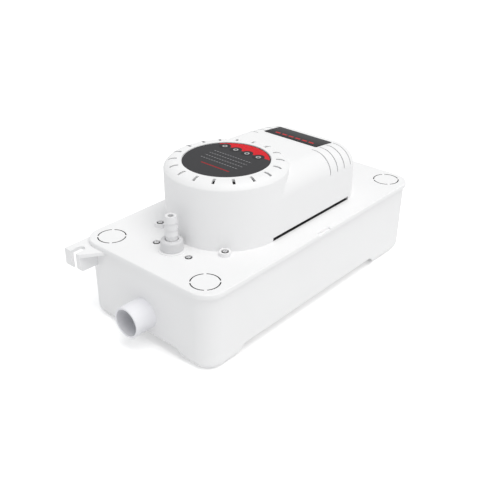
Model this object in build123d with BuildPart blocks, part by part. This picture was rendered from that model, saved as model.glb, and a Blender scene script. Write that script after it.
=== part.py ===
from build123d import *
import os
from math import asin, atan, cos, degrees, radians, sin, sqrt, tan

# Condensate pump: a low tank, a lid that carries the pump, and a motor cover.
# Millimetres, +Z up. The origin is on the floor, under the middle of the tank.
# +X runs along the tank, away from the inlet spigot and the hose connector.

# ---------------------------------------------------------------- tank
tank_length = 278.5
tank_width = 141.4
tank_height = 68.8
tank_corner = 16.0
tank_wall = 3.0
tank_draft = 0.6            # degrees, the walls lean in towards the floor
tank_floor = 2.6
foot_height = 10.0
foot_ramp = 15.0            # length of the S-shaped step beside each foot
foot_length = 28.0          # flat part of a foot along X, at the inlet end ...
rear_foot_length = 47.0     # ... and at the far end
foot_width = 23.0           # flat part of a foot along Y
foot_edge = 7.5

# hanging ears at both ends of the tank
ear_thickness = 3.0
ear_drop = 1.6              # top of the ear below the tank's rim
ear_reach = 18.0
ear_stand_out = 2.2         # the ear's back edge, out past the tank's long wall
ear_width = 30.9
ear_slant = 12.3
ear_root = 1.5              # how far the ear is moulded into the end wall
ear_slot_width = 6.6
ear_slot_from_edge = 10.9
ear_slot_depth = 8.3        # up to the slot's round end
ear_leg_length = 3.0
ear_leg_drop = 13.2
ear_leg_round = 3.8

# ---------------------------------------------------------------- inlet
spigot_outer = 26.5
spigot_inner = 22.9
spigot_reach = 19.5         # out past the end wall
spigot_centre_z = 27.6
spigot_flange = 29.6
spigot_flange_thickness = 2.5
seal_thickness = 1.5

# ---------------------------------------------------------------- lid
lid_thickness = 2.5
lid_skirt = 1.7
lid_gap = 0.3               # between the skirt and the tank's outside
lid_rim = 4.0               # depth of the outer rim, top to bottom edge
lid_edge = 1.2
rib_thickness = 2.0
rib_depth = 4.5
rib_gap = 0.5               # between the locating rib and the tank's inside
knockout_radius = 12.0
knockout_slit = 1.0
knockout_bridge = 2.2
knockout_from_end = 15.65
knockout_from_side = 17.4
notch_length = 15.5
notch_depth = 2.6
notch_height = 1.6

# ---------------------------------------------------------------- motor cover
drum_from_end = 97.25       # drum's centre, in from the inlet end of the tank
drum_radius = 51.5
drum_height = 57.9
drum_crown = 5.3            # fall of the drum's crown, from its flat top to its wall
crown_inner = 42.5
drum_edge = 1.5
cover_wall = 2.2
body_length = 129.5         # from the drum's centre to the rear end
body_corner = 28.0
body_edge = 18.0
body_crest = 52.7           # highest line of the body's arched top, above the lid ...
body_crest_reach = 39.0     # ... at this distance behind the drum's centre
body_arch = 526.0           # radius of the arched top
cooling_slots = 18
cooling_slot_width = 2.3
cooling_slot_inner = 40.4
cooling_slot_outer = 47.5
cooling_slot_depth = 9.0
rear_slots = 4
rear_slot_reach = 75.5      # first slot, from the drum's centre
rear_slot_pitch = 10.3
rear_slot_width = 1.2
rear_slot_rise = 21.0       # how far each slot runs in over the top
rear_slot_low = 33.0
side_gap_lead = 0.4         # the gap starts this far before the drum's centre
side_gap_length = 106.1
side_gap_height = 3.0
label_radius = 36.4
label_recess = 0.8
label_thickness = 0.4
sticker_from_end = 23.0     # sticker's rear edge, in from the rear end
sticker_length = 23.8
sticker_width = 59.0
sticker_thickness = 0.3
cover_ear_turn = 41.15      # degrees either side of the line to the valve
cover_ear_gap = 4.8         # screw's centre, out from the drum's wall
cover_ear_radius = 4.75
cover_ear_height = 3.2
cover_ear_web = 6.5
cover_pocket_depth = 1.2
tongue_width = 10.0
tongue_thickness = 2.0
tongue_y = 16.0
tongue_gap = 0.3

# ---------------------------------------------------------------- screws
screw_radius = 1.5
screw_length = 9.0
head_radius = 2.7
head_height = 1.6
recess_width = 0.8
recess_depth = 1.0
pocket_radius = 3.2
pocket_depth = 1.2
boss_radius = 4.0
boss_depth = 8.0

# ---------------------------------------------------------------- check valve
valve_gap = 3.5             # between the nut and the drum
valve_screw_y = 18.3
collar_top = 0.8            # raised ring of the lid round the valve
collar_outer = 11.2
flange_radius = 11.0
flange_ear_radius = 4.5
flange_thickness = 2.0
flange_boss_depth = 6.0
valve_body_radius = 7.0
valve_hole_gap = 0.3
valve_spigot_radius = 4.0
valve_spigot_bore = 2.6
valve_body_drop = 6.8       # body below the lid's underside
valve_spigot_drop = 18.8
valve_body_rise = 6.2       # body above the lid's top
ball_radius = 3.5
ball_guide = 4.1
ball_seat_drop = 1.3
ball_play = 0.2
nut_radius = 9.2
nut_height = 9.2
nut_edge = 2.0
barb_height = 20.5
barb_radius = 5.4
barb_tip_radius = 4.6
barb_root_radius = 4.8
barb_root_height = 3.6
barb_bore = 2.3
barb_count = 3
barb_foot_radius = 6.6
barb_foot_thickness = 1.6
ring_inner = 4.4
ring_thickness = 0.8

# ---------------------------------------------------------------- motor
shaft_radius = 2.5
shaft_tail = 1.5            # shaft below the impeller's hub
fan_grip = 5.5              # shaft inside the fan's hub
running_gap = 0.03
fit_gap = 0.02
post_height = 14.7
bracket_thickness = 2.0
stack_thickness = 20.0
stack_half_width = 31.0
stack_back = 31.0
stack_front = 56.0
rotor_radius = 16.0
rotor_air_gap = 0.4
rotor_end_gap = 0.4
window_start = 22.0
window_end = 43.0
window_half_width = 17.0
bolt_x = 22.0
bolt_y = 25.0
bolt_radius = 2.0
bolt_grip = 8.0             # how far each long bolt goes into its post
post_radius = 4.5
hub_radius = 7.0
hub_height = 6.0
bush_radius = 4.5
bobbin_wall = 1.2
bobbin_flange = 1.6
winding_depth = 9.5
winding_gap = 0.3
fan_radius = 28.0
fan_hub_radius = 6.0
fan_height = 7.0
fan_top_gap = 1.0
fan_blades = 8
blade_thickness = 1.4

# ---------------------------------------------------------------- pump in the tank
pump_flange_radius = 30.0
pump_flange_thickness = 3.0
pump_screw_radius = 24.0
pump_screw_turns = (60, 180, 300)
lug_turns = (0, 120, 240)
collar_radius = 9.5
collar_gap = 0.3
column_radius = 11.0
column_bore = 7.0
column_slot = 5.0
column_slot_height = 14.0
volute_radius = 29.0
volute_wall = 2.2
volute_clear = 5.4          # volute above the tank's floor
volute_height = 14.0
volute_cover_thickness = 2.0
inlet_radius = 8.0
strainer_bars = 8
strainer_bar = 1.4
strainer_depth = 1.8
impeller_radius = 20.0
impeller_clear = 3.0
impeller_height = 8.0
impeller_disc = 1.6
impeller_hub = 5.5
impeller_blades = 6
nozzle_length = 12.0
hose_wall = 2.0
hose_bend = 16.0
hose_grip = 9.0             # how far the hose is pushed on at each end

# ---------------------------------------------------------------- float
pivot_from_switch = 8.0
pivot_drop = 8.8            # pin below the lid's underside
pin_radius = 1.5
lug_thickness = 3.0
lug_inner_y = 9.0
lug_radius = 4.5
arm_hub_radius = 4.0
arm_hub_gap = 0.4
arm_width = 6.0
arm_thickness = 4.0
float_near_gap = 12.0       # from the pin to the float
float_far_gap = 12.25       # from the float to the end wall
float_width = 60.0
float_height = 22.0
float_clear = 5.4           # float above the tank's floor
stem_reach = 32.0           # from the pin to the stem that carries the float
float_corner = 7.0
horn_height = 24.0
horn_width = 6.0
horn_thickness = 3.5
bar_radius = 2.0
bar_half_length = 12.0
lid_slot_length = 14.0
lid_slot_width = 12.0

# ---------------------------------------------------------------- switches
switch_reach = 88.0         # switch's front, from the drum's centre
switch_depth = 16.0
switch_width = 10.3
switch_length = 28.0
switch_clear = 4.2
plate_thickness = 2.0
base_half_width = 21.0
base_screw_y = 17.0
lever_hinge_drop = 3.5
lever_stand_off = 1.5
lever_thickness = 0.6
lever_width = 5.0
lever_length = 19.5
lever_gap = 0.38            # between the float's bar and each lever
lever_eye = 1.0
lever_pin = 0.55
lever_pin_gap = 0.05
plunger_radius = 1.5
plunger_gap = 0.2
plunger_drop = 11.5
plunger_hole = 7.0
switch_screw_drop = 6.0
switch_screw_radius = 1.4
switch_screw_head = 2.6
switch_screw_spare = 0.8
switch_nut_height = 2.2
tab_length = 4.0
tab_width = 4.8
tab_thickness = 0.8
terminal_from_end = 19.5    # terminals, in from the cover's rear end
terminal_offset = 30.0
terminal_length = 20.0
terminal_width = 12.0
terminal_height = 13.0
grommet_z = 16.0
grommet_hole = 6.0
grommet_bore = 3.5
grommet_rim = 1.8

# ---------------------------------------------------------------- derived sizes
lid_top = tank_height + lid_thickness
floor_top = foot_height + tank_floor
arch_middle = (foot_length - rear_foot_length) / 2
arch_half = tank_length / 2 - (foot_length + rear_foot_length) / 2 - foot_ramp
tank_end = tank_length / 2
tank_side = tank_width / 2
inside_length = tank_length - 2 * tank_wall
inside_width = tank_width - 2 * tank_wall
lid_length = tank_length + 2 * (lid_gap + lid_skirt)
lid_width = tank_width + 2 * (lid_gap + lid_skirt)
lid_corner = tank_corner + lid_gap + lid_skirt
ear_end = tank_side + ear_stand_out
ear_start = ear_end - ear_width
ear_slot_centre = ear_end - ear_slot_from_edge
knockout_x = tank_end - knockout_from_end
knockout_y = tank_side - knockout_from_side

drum_x = -tank_end + drum_from_end
drum_top = lid_top + drum_height
body_end_x = drum_x + body_length
body_half_width = drum_radius
crest_x = drum_x + body_crest_reach
arch_centre_z = lid_top + body_crest - body_arch
cover_ear_run = drum_radius + cover_ear_gap
cover_ear_x = drum_x - cover_ear_run * cos(radians(cover_ear_turn))
cover_ear_y = cover_ear_run * sin(radians(cover_ear_turn))

valve_x = drum_x - drum_radius - valve_gap - nut_radius
valve_body_low = tank_height - valve_body_drop
valve_spigot_low = tank_height - valve_spigot_drop
ball_seat_z = tank_height - ball_seat_drop

motor_base = lid_top + post_height
stack_low = motor_base + bracket_thickness
stack_high = stack_low + stack_thickness
bush_length = bracket_thickness + hub_height
fan_low = stack_high + bush_length + fan_top_gap
volute_low = floor_top + volute_clear
volute_high = volute_low + volute_height
impeller_low = volute_low + impeller_clear
shaft_low = impeller_low - shaft_tail
shaft_high = fan_low + fan_grip

switch_front_x = drum_x + switch_reach
switch_low = lid_top + switch_clear
switch_high = switch_low + switch_length
terminal_x = body_end_x - terminal_from_end
terminal_y = -terminal_offset
pivot_x = switch_front_x + pivot_from_switch
pivot_z = tank_height - pivot_drop
float_start = pivot_x + float_near_gap
float_length = tank_end - tank_wall - float_far_gap - float_start
float_x = float_start + float_length / 2
float_low = floor_top + float_clear

os.makedirs("parts", exist_ok=True)


def finish(piece, name):
    """Label one finished piece and write it to its own file."""
    piece.part.label = name
    export_step(piece.part, "parts/" + name + ".step")


def pan_screw(length, radius=screw_radius, head=head_radius):
    """Pan-head screw with a cross recess, its bearing face at Z = 0, pointing down."""
    with BuildPart(mode=Mode.PRIVATE) as screw:
        Cylinder(radius, length, align=(Align.CENTER, Align.CENTER, Align.MAX))
        Cylinder(head, head_height, align=(Align.CENTER, Align.CENTER, Align.MIN))
        fillet(screw.edges().group_by(Axis.Z)[-1], head_height * 0.45)
        with Locations((0, 0, head_height - recess_depth)):
            lowest = (Align.CENTER, Align.CENTER, Align.MIN)
            Box(head * 1.2, recess_width, head_height, align=lowest, mode=Mode.SUBTRACT)
            Box(recess_width, head * 1.2, head_height, align=lowest, mode=Mode.SUBTRACT)
    return screw.part


def step_profile(half_span, ramp, height):
    """Closed outline of the hollow between two feet, with an S-shaped step at each end."""
    middle = half_span + ramp / 2
    outer = half_span + ramp
    bulge = sqrt(ramp**2 + height**2) / 4 * tan(atan(height / ramp) / 2)
    with BuildLine() as line:
        Line((-outer, -1), (outer, -1))
        Line((outer, -1), (outer, 0))
        SagittaArc((outer, 0), (middle, height / 2), bulge)
        SagittaArc((middle, height / 2), (half_span, height), -bulge)
        Line((half_span, height), (-half_span, height))
        SagittaArc((-half_span, height), (-middle, height / 2), -bulge)
        SagittaArc((-middle, height / 2), (-outer, 0), bulge)
        Line((-outer, 0), (-outer, -1))
    return line.line


# ================================================================ tank
with BuildPart() as tank:
    with BuildSketch(Plane.XY.offset(tank_height)):
        RectangleRounded(tank_length, tank_width, tank_corner)
    extrude(amount=-tank_height, taper=tank_draft)
    fillet(tank.edges().group_by(Axis.Z)[0], foot_edge)
    span_y = tank_side - foot_width - foot_ramp
    with BuildSketch(Plane.XZ.offset(-tank_width)):
        with BuildLine():
            add(step_profile(arch_half, foot_ramp, foot_height).moved(Location((arch_middle, 0, 0))))
        make_face()
    extrude(amount=2 * tank_width, mode=Mode.SUBTRACT)
    with BuildSketch(Plane.YZ.offset(-tank_length)):
        with BuildLine():
            add(step_profile(span_y, foot_ramp, foot_height))
        make_face()
    extrude(amount=2 * tank_length, mode=Mode.SUBTRACT)
    with BuildSketch(Plane.XY.offset(tank_height)):
        RectangleRounded(inside_length, inside_width, tank_corner - tank_wall)
    extrude(amount=-(tank_height - foot_height - tank_floor), mode=Mode.SUBTRACT)

    # one hanging ear at each end, beside the back corner
    ear_high = tank_height - ear_drop
    ear_low = ear_high - ear_thickness
    ear_tip = tank_end + ear_reach
    ear_wall = tank_end - ear_root
    for side in (-1, 1):
        with BuildSketch(Plane.XY.offset(ear_low)):
            with BuildLine():
                Polyline(
                    (side * ear_wall, ear_start),
                    (side * tank_end, ear_start),
                    (side * ear_tip, ear_start + ear_slant),
                    (side * ear_tip, ear_end),
                    (side * (tank_end - tank_corner / 2), ear_end),
                    (side * (tank_end - tank_corner / 2), tank_side - tank_wall),
                    (side * ear_wall, tank_side - tank_corner),
                    close=True,
                )
            make_face()
            with Locations((side * (ear_tip - ear_slot_depth / 2), ear_slot_centre)):
                Rectangle(ear_slot_depth, ear_slot_width, mode=Mode.SUBTRACT)
            with Locations((side * (ear_tip - ear_slot_depth), ear_slot_centre)):
                Circle(ear_slot_width / 2, mode=Mode.SUBTRACT)
        extrude(amount=ear_thickness)
        # two ribs below the ear: a long one before its slot, a short one behind
        slot_low_y = ear_slot_centre - ear_slot_width / 2
        slot_high_y = ear_slot_centre + ear_slot_width / 2
        front_rib = (ear_start + ear_slant, slot_low_y, ear_reach + ear_root)
        back_rib = (slot_high_y, ear_end, ear_leg_length)
        for low_y, high_y, rib_length in (front_rib, back_rib):
            with BuildSketch(Plane.XZ.offset(-high_y)) as rib:
                with Locations((side * (ear_tip - rib_length / 2), ear_low - ear_leg_drop / 2)):
                    Rectangle(rib_length, ear_leg_drop)
                low_corners = rib.vertices().group_by(Axis.Y)[0].sort_by(Axis.X)
                fillet(low_corners[-1 if side > 0 else 0], min(ear_leg_round, 0.9 * rib_length))
            extrude(amount=high_y - low_y)

    # hole for the inlet spigot in the end wall
    with BuildSketch(Plane.YZ.offset(-tank_end - 1)):
        with Locations((0, spigot_centre_z)):
            Circle(spigot_outer / 2)
    extrude(amount=tank_wall + 2, mode=Mode.SUBTRACT)
finish(tank, "tank")

# ================================================================ inlet spigot and its seal
inner_wall_x = -inside_length / 2
seal_face_x = inner_wall_x + seal_thickness
with BuildPart() as inlet_spigot:
    spigot_back = Plane.YZ.offset(seal_face_x + spigot_flange_thickness)
    with BuildSketch(spigot_back):
        with Locations((0, spigot_centre_z)):
            Circle(spigot_flange / 2)
    extrude(amount=-spigot_flange_thickness)
    with BuildSketch(spigot_back):
        with Locations((0, spigot_centre_z)):
            Circle(spigot_outer / 2)
    extrude(amount=-(seal_face_x + spigot_flange_thickness + tank_end + spigot_reach))
    with BuildSketch(spigot_back):
        with Locations((0, spigot_centre_z)):
            Circle(spigot_inner / 2)
    extrude(amount=-2 * (spigot_reach + tank_wall + spigot_flange_thickness), mode=Mode.SUBTRACT)
finish(inlet_spigot, "inlet_spigot")

with BuildPart() as inlet_seal:
    with BuildSketch(Plane.YZ.offset(inner_wall_x)):
        with Locations((0, spigot_centre_z)):
            Circle(spigot_flange / 2 - 0.5)
            Circle(spigot_outer / 2, mode=Mode.SUBTRACT)
    extrude(amount=seal_thickness)
finish(inlet_seal, "inlet_seal")

# ================================================================ lid
cover_screw_places = [(cover_ear_x, y) for y in (-cover_ear_y, cover_ear_y)]
valve_screw_places = [(valve_x, y) for y in (-valve_screw_y, valve_screw_y)]
switch_base_x = switch_front_x - switch_depth / 2
switch_base_places = [(switch_base_x, y) for y in (-base_screw_y, base_screw_y)]
pump_screw_places = [
    (drum_x + pump_screw_radius * cos(radians(a)), pump_screw_radius * sin(radians(a)))
    for a in pump_screw_turns
]
tongue_x = body_end_x - cover_wall / 2

with BuildPart() as tank_lid:
    with BuildSketch(Plane.XY.offset(lid_top - lid_rim)):
        RectangleRounded(lid_length, lid_width, lid_corner)
    extrude(amount=lid_rim)
    fillet(tank_lid.edges().group_by(Axis.Z)[-1], lid_edge)
    with BuildSketch(Plane.XY.offset(tank_height)):
        skirt_inner = tank_corner + lid_gap
        RectangleRounded(tank_length + 2 * lid_gap, tank_width + 2 * lid_gap, skirt_inner)
    extrude(amount=-lid_rim, mode=Mode.SUBTRACT)
    # locating rib just inside the tank wall
    rib_corner = tank_corner - tank_wall - rib_gap
    with BuildSketch(Plane.XY.offset(tank_height - rib_depth)):
        RectangleRounded(inside_length - 2 * rib_gap, inside_width - 2 * rib_gap, rib_corner)
        offset(amount=-rib_thickness, mode=Mode.SUBTRACT)
    extrude(amount=rib_depth)
    # screw bosses under the lid
    with BuildSketch(Plane.XY.offset(tank_height - boss_depth)):
        with Locations(*cover_screw_places, *switch_base_places):
            Circle(boss_radius)
    extrude(amount=boss_depth)
    # raised ring round the check valve
    with BuildSketch(Plane.XY.offset(lid_top)):
        with Locations((valve_x, 0)):
            Circle(collar_outer)
    extrude(amount=collar_top)
    # posts that carry the motor
    with BuildSketch(Plane.XY.offset(lid_top)):
        with Locations((drum_x, 0)):
            with GridLocations(2 * bolt_x, 2 * bolt_y, 2, 2):
                Circle(post_radius)
    extrude(amount=motor_base - lid_top)
    # two lugs that hold the float's pin
    for side in (-1, 1):
        lug_y = side * (lug_inner_y + lug_thickness / 2)
        with BuildSketch(Plane.XZ.offset(-lug_y - lug_thickness / 2)):
            with Locations((pivot_x, pivot_z)):
                Circle(lug_radius)
            with Locations((pivot_x, pivot_z + pivot_drop / 2)):
                Rectangle(2 * lug_radius, pivot_drop)
        extrude(amount=lug_thickness)
    with BuildSketch(Plane.XZ.offset(-tank_width / 2)):
        with Locations((pivot_x, pivot_z)):
            Circle(pin_radius)
    extrude(amount=tank_width, mode=Mode.SUBTRACT)
    # bores and slots through the plate
    with BuildSketch(Plane.XY.offset(lid_top)):
        with Locations((drum_x, 0)):
            Circle(collar_radius + collar_gap)
        with Locations((pivot_x, 0)):
            Rectangle(lid_slot_length, lid_slot_width)
        with Locations(*[(tongue_x, y) for y in (-tongue_y, tongue_y)]):
            Rectangle(tongue_thickness + 2 * tongue_gap, tongue_width + 2 * tongue_gap)
        with Locations(*pump_screw_places):
            Circle(screw_radius)
    extrude(amount=-lid_thickness, mode=Mode.SUBTRACT)
    with BuildSketch(Plane.XY.offset(lid_top)):
        with Locations(*cover_screw_places, *valve_screw_places, *switch_base_places):
            Circle(screw_radius)
    extrude(amount=-(lid_thickness + boss_depth), mode=Mode.SUBTRACT)
    with BuildSketch(Plane.XY.offset(lid_top + collar_top)):
        with Locations((valve_x, 0)):
            Circle(valve_body_radius + valve_hole_gap)
    extrude(amount=-(lid_thickness + collar_top), mode=Mode.SUBTRACT)
    with BuildSketch(Plane.XY.offset(lid_top)):
        with Locations(*valve_screw_places):
            Circle(pocket_radius)
    extrude(amount=-pocket_depth, mode=Mode.SUBTRACT)
    with BuildSketch(Plane.XY.offset(motor_base)):
        with Locations((drum_x, 0)):
            with GridLocations(2 * bolt_x, 2 * bolt_y, 2, 2):
                Circle(bolt_radius)
    extrude(amount=-bolt_grip, mode=Mode.SUBTRACT)
    # four knock-outs: a broken ring of slits, held by four bridges
    with BuildSketch(Plane.XY.offset(lid_top)):
        with Locations(*[(x, y) for x in (-knockout_x, knockout_x) for y in (-knockout_y, knockout_y)]):
            Circle(knockout_radius)
            Circle(knockout_radius - knockout_slit, mode=Mode.SUBTRACT)
            for turn in (45, 135):
                Rectangle(3 * knockout_radius, knockout_bridge, rotation=turn, mode=Mode.SUBTRACT)
    extrude(amount=-lid_thickness, mode=Mode.SUBTRACT)
    # notch for prying the lid off, in the middle of the front edge
    with Locations((0, -lid_width / 2 + notch_depth / 2, lid_top - notch_height / 2)):
        Box(notch_length, notch_depth, notch_height, mode=Mode.SUBTRACT)
finish(tank_lid, "tank_lid")

# ================================================================ motor cover
def cover_block(inset, low):
    """Solid of the cover's shape, drawn in by inset all over and cut off at height low."""
    radius = drum_radius - inset
    end = body_end_x - inset
    with BuildPart(mode=Mode.PRIVATE) as body:
        with BuildSketch(Plane.XY.offset(low)):
            with Locations(((drum_x + end) / 2, 0)):
                Rectangle(end - drum_x, 2 * radius)
        extrude(amount=drum_top - low)
        fillet(body.edges().filter_by(Axis.Z).group_by(Axis.X)[-1], body_corner - inset)
        with BuildSketch(Plane.XZ.offset(-radius)):
            with Locations((crest_x, arch_centre_z)):
                Circle(body_arch - inset)
        extrude(amount=2 * radius, mode=Mode.INTERSECT)
        rim = body.faces().sort_by(Axis.Z)[-1].edges().sort_by(Axis.X)[1:]
        fillet(rim, body_edge - inset)
    # the drum's crown curves down from its flat top to its wall
    crown_top = drum_top - inset
    crown_low = drum_top - drum_crown - inset / 4
    with BuildPart(mode=Mode.PRIVATE) as drum:
        with BuildSketch(Plane.XZ):
            with BuildLine():
                Polyline((0, crown_top), (0, low), (radius, low), (radius, crown_low))
                TangentArc((crown_inner, crown_top), (radius, crown_low), tangent=(1, 0))
                Line((crown_inner, crown_top), (0, crown_top))
            make_face()
        revolve(axis=Axis.Z)
        widest = drum.edges().filter_by(GeomType.CIRCLE).group_by(SortBy.RADIUS)[-1]
        fillet(widest.sort_by(Axis.Z)[-1], drum_edge)
    return body.part + drum.part.moved(Location((drum_x, 0, 0)))


with BuildPart() as motor_cover:
    add(cover_block(0, lid_top))
    add(cover_block(cover_wall, lid_top), mode=Mode.SUBTRACT)
    # shallow recess for the round label
    with BuildSketch(Plane.XY.offset(drum_top)):
        with Locations((drum_x, 0)):
            Circle(label_radius + cover_wall / 4)
    extrude(amount=-label_recess, mode=Mode.SUBTRACT)
    # ring of cooling slots through the drum's crown
    slot_length = cooling_slot_outer - cooling_slot_inner
    slot_middle = (cooling_slot_inner + cooling_slot_outer) / 2
    with BuildSketch(Plane.XY.offset(drum_top)):
        with Locations((drum_x, 0)):
            start = 180 / cooling_slots
            with PolarLocations(slot_middle, cooling_slots, start_angle=start):
                Rectangle(slot_length, cooling_slot_width)
    extrude(amount=-cooling_slot_depth, mode=Mode.SUBTRACT)
    # thin slots over the shoulders at the rear end
    for side in (-1, 1):
        for i in range(rear_slots):
            slot_x = drum_x + rear_slot_reach + i * rear_slot_pitch
            slot_y = side * (body_half_width - rear_slot_rise / 2 + cover_wall)
            with BuildSketch(Plane.XY.offset(lid_top + rear_slot_low)):
                with Locations((slot_x, slot_y)):
                    Rectangle(rear_slot_width, rear_slot_rise + 2 * cover_wall)
            extrude(amount=drum_height, mode=Mode.SUBTRACT)
    # long air gaps along the foot of both sides
    for side in (-1, 1):
        with BuildSketch(Plane.XY.offset(lid_top)):
            gap_middle = drum_x - side_gap_lead + side_gap_length / 2
            with Locations((gap_middle, side * body_half_width)):
                Rectangle(side_gap_length, 3 * cover_wall)
        extrude(amount=side_gap_height, mode=Mode.SUBTRACT)
    # two screw ears beside the check valve
    for x, y in cover_screw_places:
        with BuildSketch(Plane.XY.offset(lid_top)):
            with Locations((x, y)):
                Circle(cover_ear_radius)
            toward = degrees(atan(y / (x - drum_x)))
            ear_bridge = sqrt((x - drum_x) ** 2 + y**2) - drum_radius + cover_wall
            web_x = x + ear_bridge / 2 * cos(radians(toward))
            web_y = y + ear_bridge / 2 * sin(radians(toward))
            with Locations((web_x, web_y)):
                Rectangle(ear_bridge, cover_ear_web, rotation=toward)
        extrude(amount=cover_ear_height)
    add(cover_block(cover_wall, lid_top), mode=Mode.SUBTRACT)
    with BuildSketch(Plane.XY.offset(lid_top)):
        with Locations(*cover_screw_places):
            Circle(screw_radius)
    extrude(amount=cover_ear_height, mode=Mode.SUBTRACT)
    with BuildSketch(Plane.XY.offset(lid_top + cover_ear_height)):
        with Locations(*cover_screw_places):
            Circle(pocket_radius)
    extrude(amount=-cover_pocket_depth, mode=Mode.SUBTRACT)
    # tongues at the rear end, down into their slots in the lid
    with BuildSketch(Plane.XY.offset(lid_top)):
        with Locations(*[(tongue_x, y) for y in (-tongue_y, tongue_y)]):
            Rectangle(tongue_thickness, tongue_width)
    extrude(amount=-lid_thickness)
    # round hole for the cord's grommet in the rear wall
    with BuildSketch(Plane.YZ.offset(body_end_x + 1)):
        with Locations((0, lid_top + grommet_z)):
            Circle(grommet_hole)
    extrude(amount=-(cover_wall + 2), mode=Mode.SUBTRACT)
finish(motor_cover, "motor_cover")

# ================================================================ labels on the cover
with BuildPart() as round_label:
    with BuildSketch(Plane.XY.offset(drum_top - label_recess)):
        with Locations((drum_x, 0)):
            Circle(label_radius)
    extrude(amount=label_thickness)
finish(round_label, "round_label")

sticker_x = body_end_x - sticker_from_end - sticker_length / 2
with BuildPart() as end_sticker:
    with BuildSketch(Plane.XZ.offset(-sticker_width / 2)):
        with Locations((crest_x, arch_centre_z)):
            Circle(body_arch + fit_gap + sticker_thickness)
            Circle(body_arch + fit_gap, mode=Mode.SUBTRACT)
        with Locations((sticker_x, lid_top + body_crest)):
            Rectangle(sticker_length, body_crest, mode=Mode.INTERSECT)
    extrude(amount=sticker_width)
finish(end_sticker, "end_sticker")

# ================================================================ screws in the cover and lid
with BuildPart() as cover_screws:
    with Locations(*[(x, y, lid_top + cover_ear_height - cover_pocket_depth) for x, y in cover_screw_places]):
        add(pan_screw(screw_length, screw_radius - fit_gap))
finish(cover_screws, "cover_screws")

with BuildPart() as valve_screws:
    with Locations(*[(x, y, lid_top - pocket_depth) for x, y in valve_screw_places]):
        add(pan_screw(screw_length, screw_radius - fit_gap))
finish(valve_screws, "valve_screws")

# ================================================================ check valve
valve_body_top = lid_top + valve_body_rise
nut_low = lid_top + collar_top
with BuildPart() as check_valve_body:
    with BuildSketch(Plane.XY.offset(tank_height)):
        with Locations((valve_x, 0)):
            Circle(flange_radius)
        with Locations(*valve_screw_places):
            Circle(flange_ear_radius)
        make_hull()
    extrude(amount=-flange_thickness)
    with BuildSketch(Plane.XY.offset(tank_height)):
        with Locations(*valve_screw_places):
            Circle(flange_ear_radius)
    extrude(amount=-flange_boss_depth)
    with BuildSketch(Plane.XY.offset(valve_body_low)):
        with Locations((valve_x, 0)):
            Circle(valve_body_radius)
    extrude(amount=valve_body_top - valve_body_low)
    with BuildSketch(Plane.XY.offset(valve_spigot_low)):
        with Locations((valve_x, 0)):
            Circle(valve_spigot_radius)
    extrude(amount=valve_body_low - valve_spigot_low)
    with BuildSketch(Plane.XY.offset(valve_spigot_low)):
        with Locations((valve_x, 0)):
            Circle(valve_spigot_bore)
    extrude(amount=ball_seat_z - valve_spigot_low, mode=Mode.SUBTRACT)
    with BuildSketch(Plane.XY.offset(ball_seat_z)):
        with Locations((valve_x, 0)):
            Circle(ball_guide)
    extrude(amount=valve_body_top - ball_seat_z, mode=Mode.SUBTRACT)
    with BuildSketch(Plane.XY.offset(tank_height)):
        with Locations(*valve_screw_places):
            Circle(screw_radius)
    extrude(amount=-(screw_length + 1), mode=Mode.SUBTRACT)
finish(check_valve_body, "check_valve_body")

# the ball rests just above the rim of the spigot's bore
ball_rest_z = ball_seat_z + sqrt(ball_radius**2 - valve_spigot_bore**2) + ball_play
with BuildPart() as valve_ball:
    with Locations((valve_x, 0, ball_rest_z)):
        Sphere(ball_radius)
finish(valve_ball, "valve_ball")

with BuildPart() as valve_ring:
    with BuildSketch(Plane.XY.offset(valve_body_top)):
        with Locations((valve_x, 0)):
            Circle(barb_foot_radius)
            Circle(ring_inner, mode=Mode.SUBTRACT)
    extrude(amount=ring_thickness)
finish(valve_ring, "valve_ring")

barb_foot_z = valve_body_top + ring_thickness
nut_top_z = nut_low + nut_height
with BuildPart() as valve_nut:
    with BuildSketch(Plane.XY.offset(nut_low)):
        with Locations((valve_x, 0)):
            Circle(nut_radius)
    extrude(amount=nut_height)
    fillet(valve_nut.edges().group_by(Axis.Z)[-1], nut_edge)
    with BuildSketch(Plane.XY.offset(nut_low)):
        with Locations((valve_x, 0)):
            Circle(valve_body_radius + fit_gap)
    extrude(amount=barb_foot_z + barb_foot_thickness - nut_low, mode=Mode.SUBTRACT)
    with BuildSketch(Plane.XY.offset(nut_low)):
        with Locations((valve_x, 0)):
            Circle(barb_radius + fit_gap)
    extrude(amount=nut_height, mode=Mode.SUBTRACT)
finish(valve_nut, "valve_nut")

barb_low_z = barb_foot_z + barb_foot_thickness
barb_top_z = nut_top_z + barb_height
teeth_low_z = nut_top_z + barb_root_height
tooth_pitch = (barb_top_z - teeth_low_z) / barb_count
with BuildPart() as hose_barb:
    with BuildSketch(Plane.XZ) as barb_profile:
        with BuildLine():
            points = [
                (barb_bore, barb_foot_z),
                (barb_foot_radius, barb_foot_z),
                (barb_foot_radius, barb_low_z),
                (barb_root_radius, barb_low_z),
                (barb_root_radius, teeth_low_z),
            ]
            for i in range(barb_count):
                tooth_z = teeth_low_z + i * tooth_pitch
                points.append((barb_radius, tooth_z))
                points.append((barb_tip_radius, tooth_z + tooth_pitch))
            points.append((barb_bore, barb_top_z))
            Polyline(*points, close=True)
        make_face()
    revolve(axis=Axis.Z)
    # grooves under the foot, so that the lifted ball doesn't shut the bore
    with Locations((0, 0, barb_foot_z)):
        Box(2 * ring_inner, barb_bore, barb_foot_thickness, mode=Mode.SUBTRACT)
        Box(barb_bore, 2 * ring_inner, barb_foot_thickness, mode=Mode.SUBTRACT)
hose_barb.part = hose_barb.part.moved(Location((valve_x, 0, 0)))
finish(hose_barb, "hose_barb")

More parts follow.
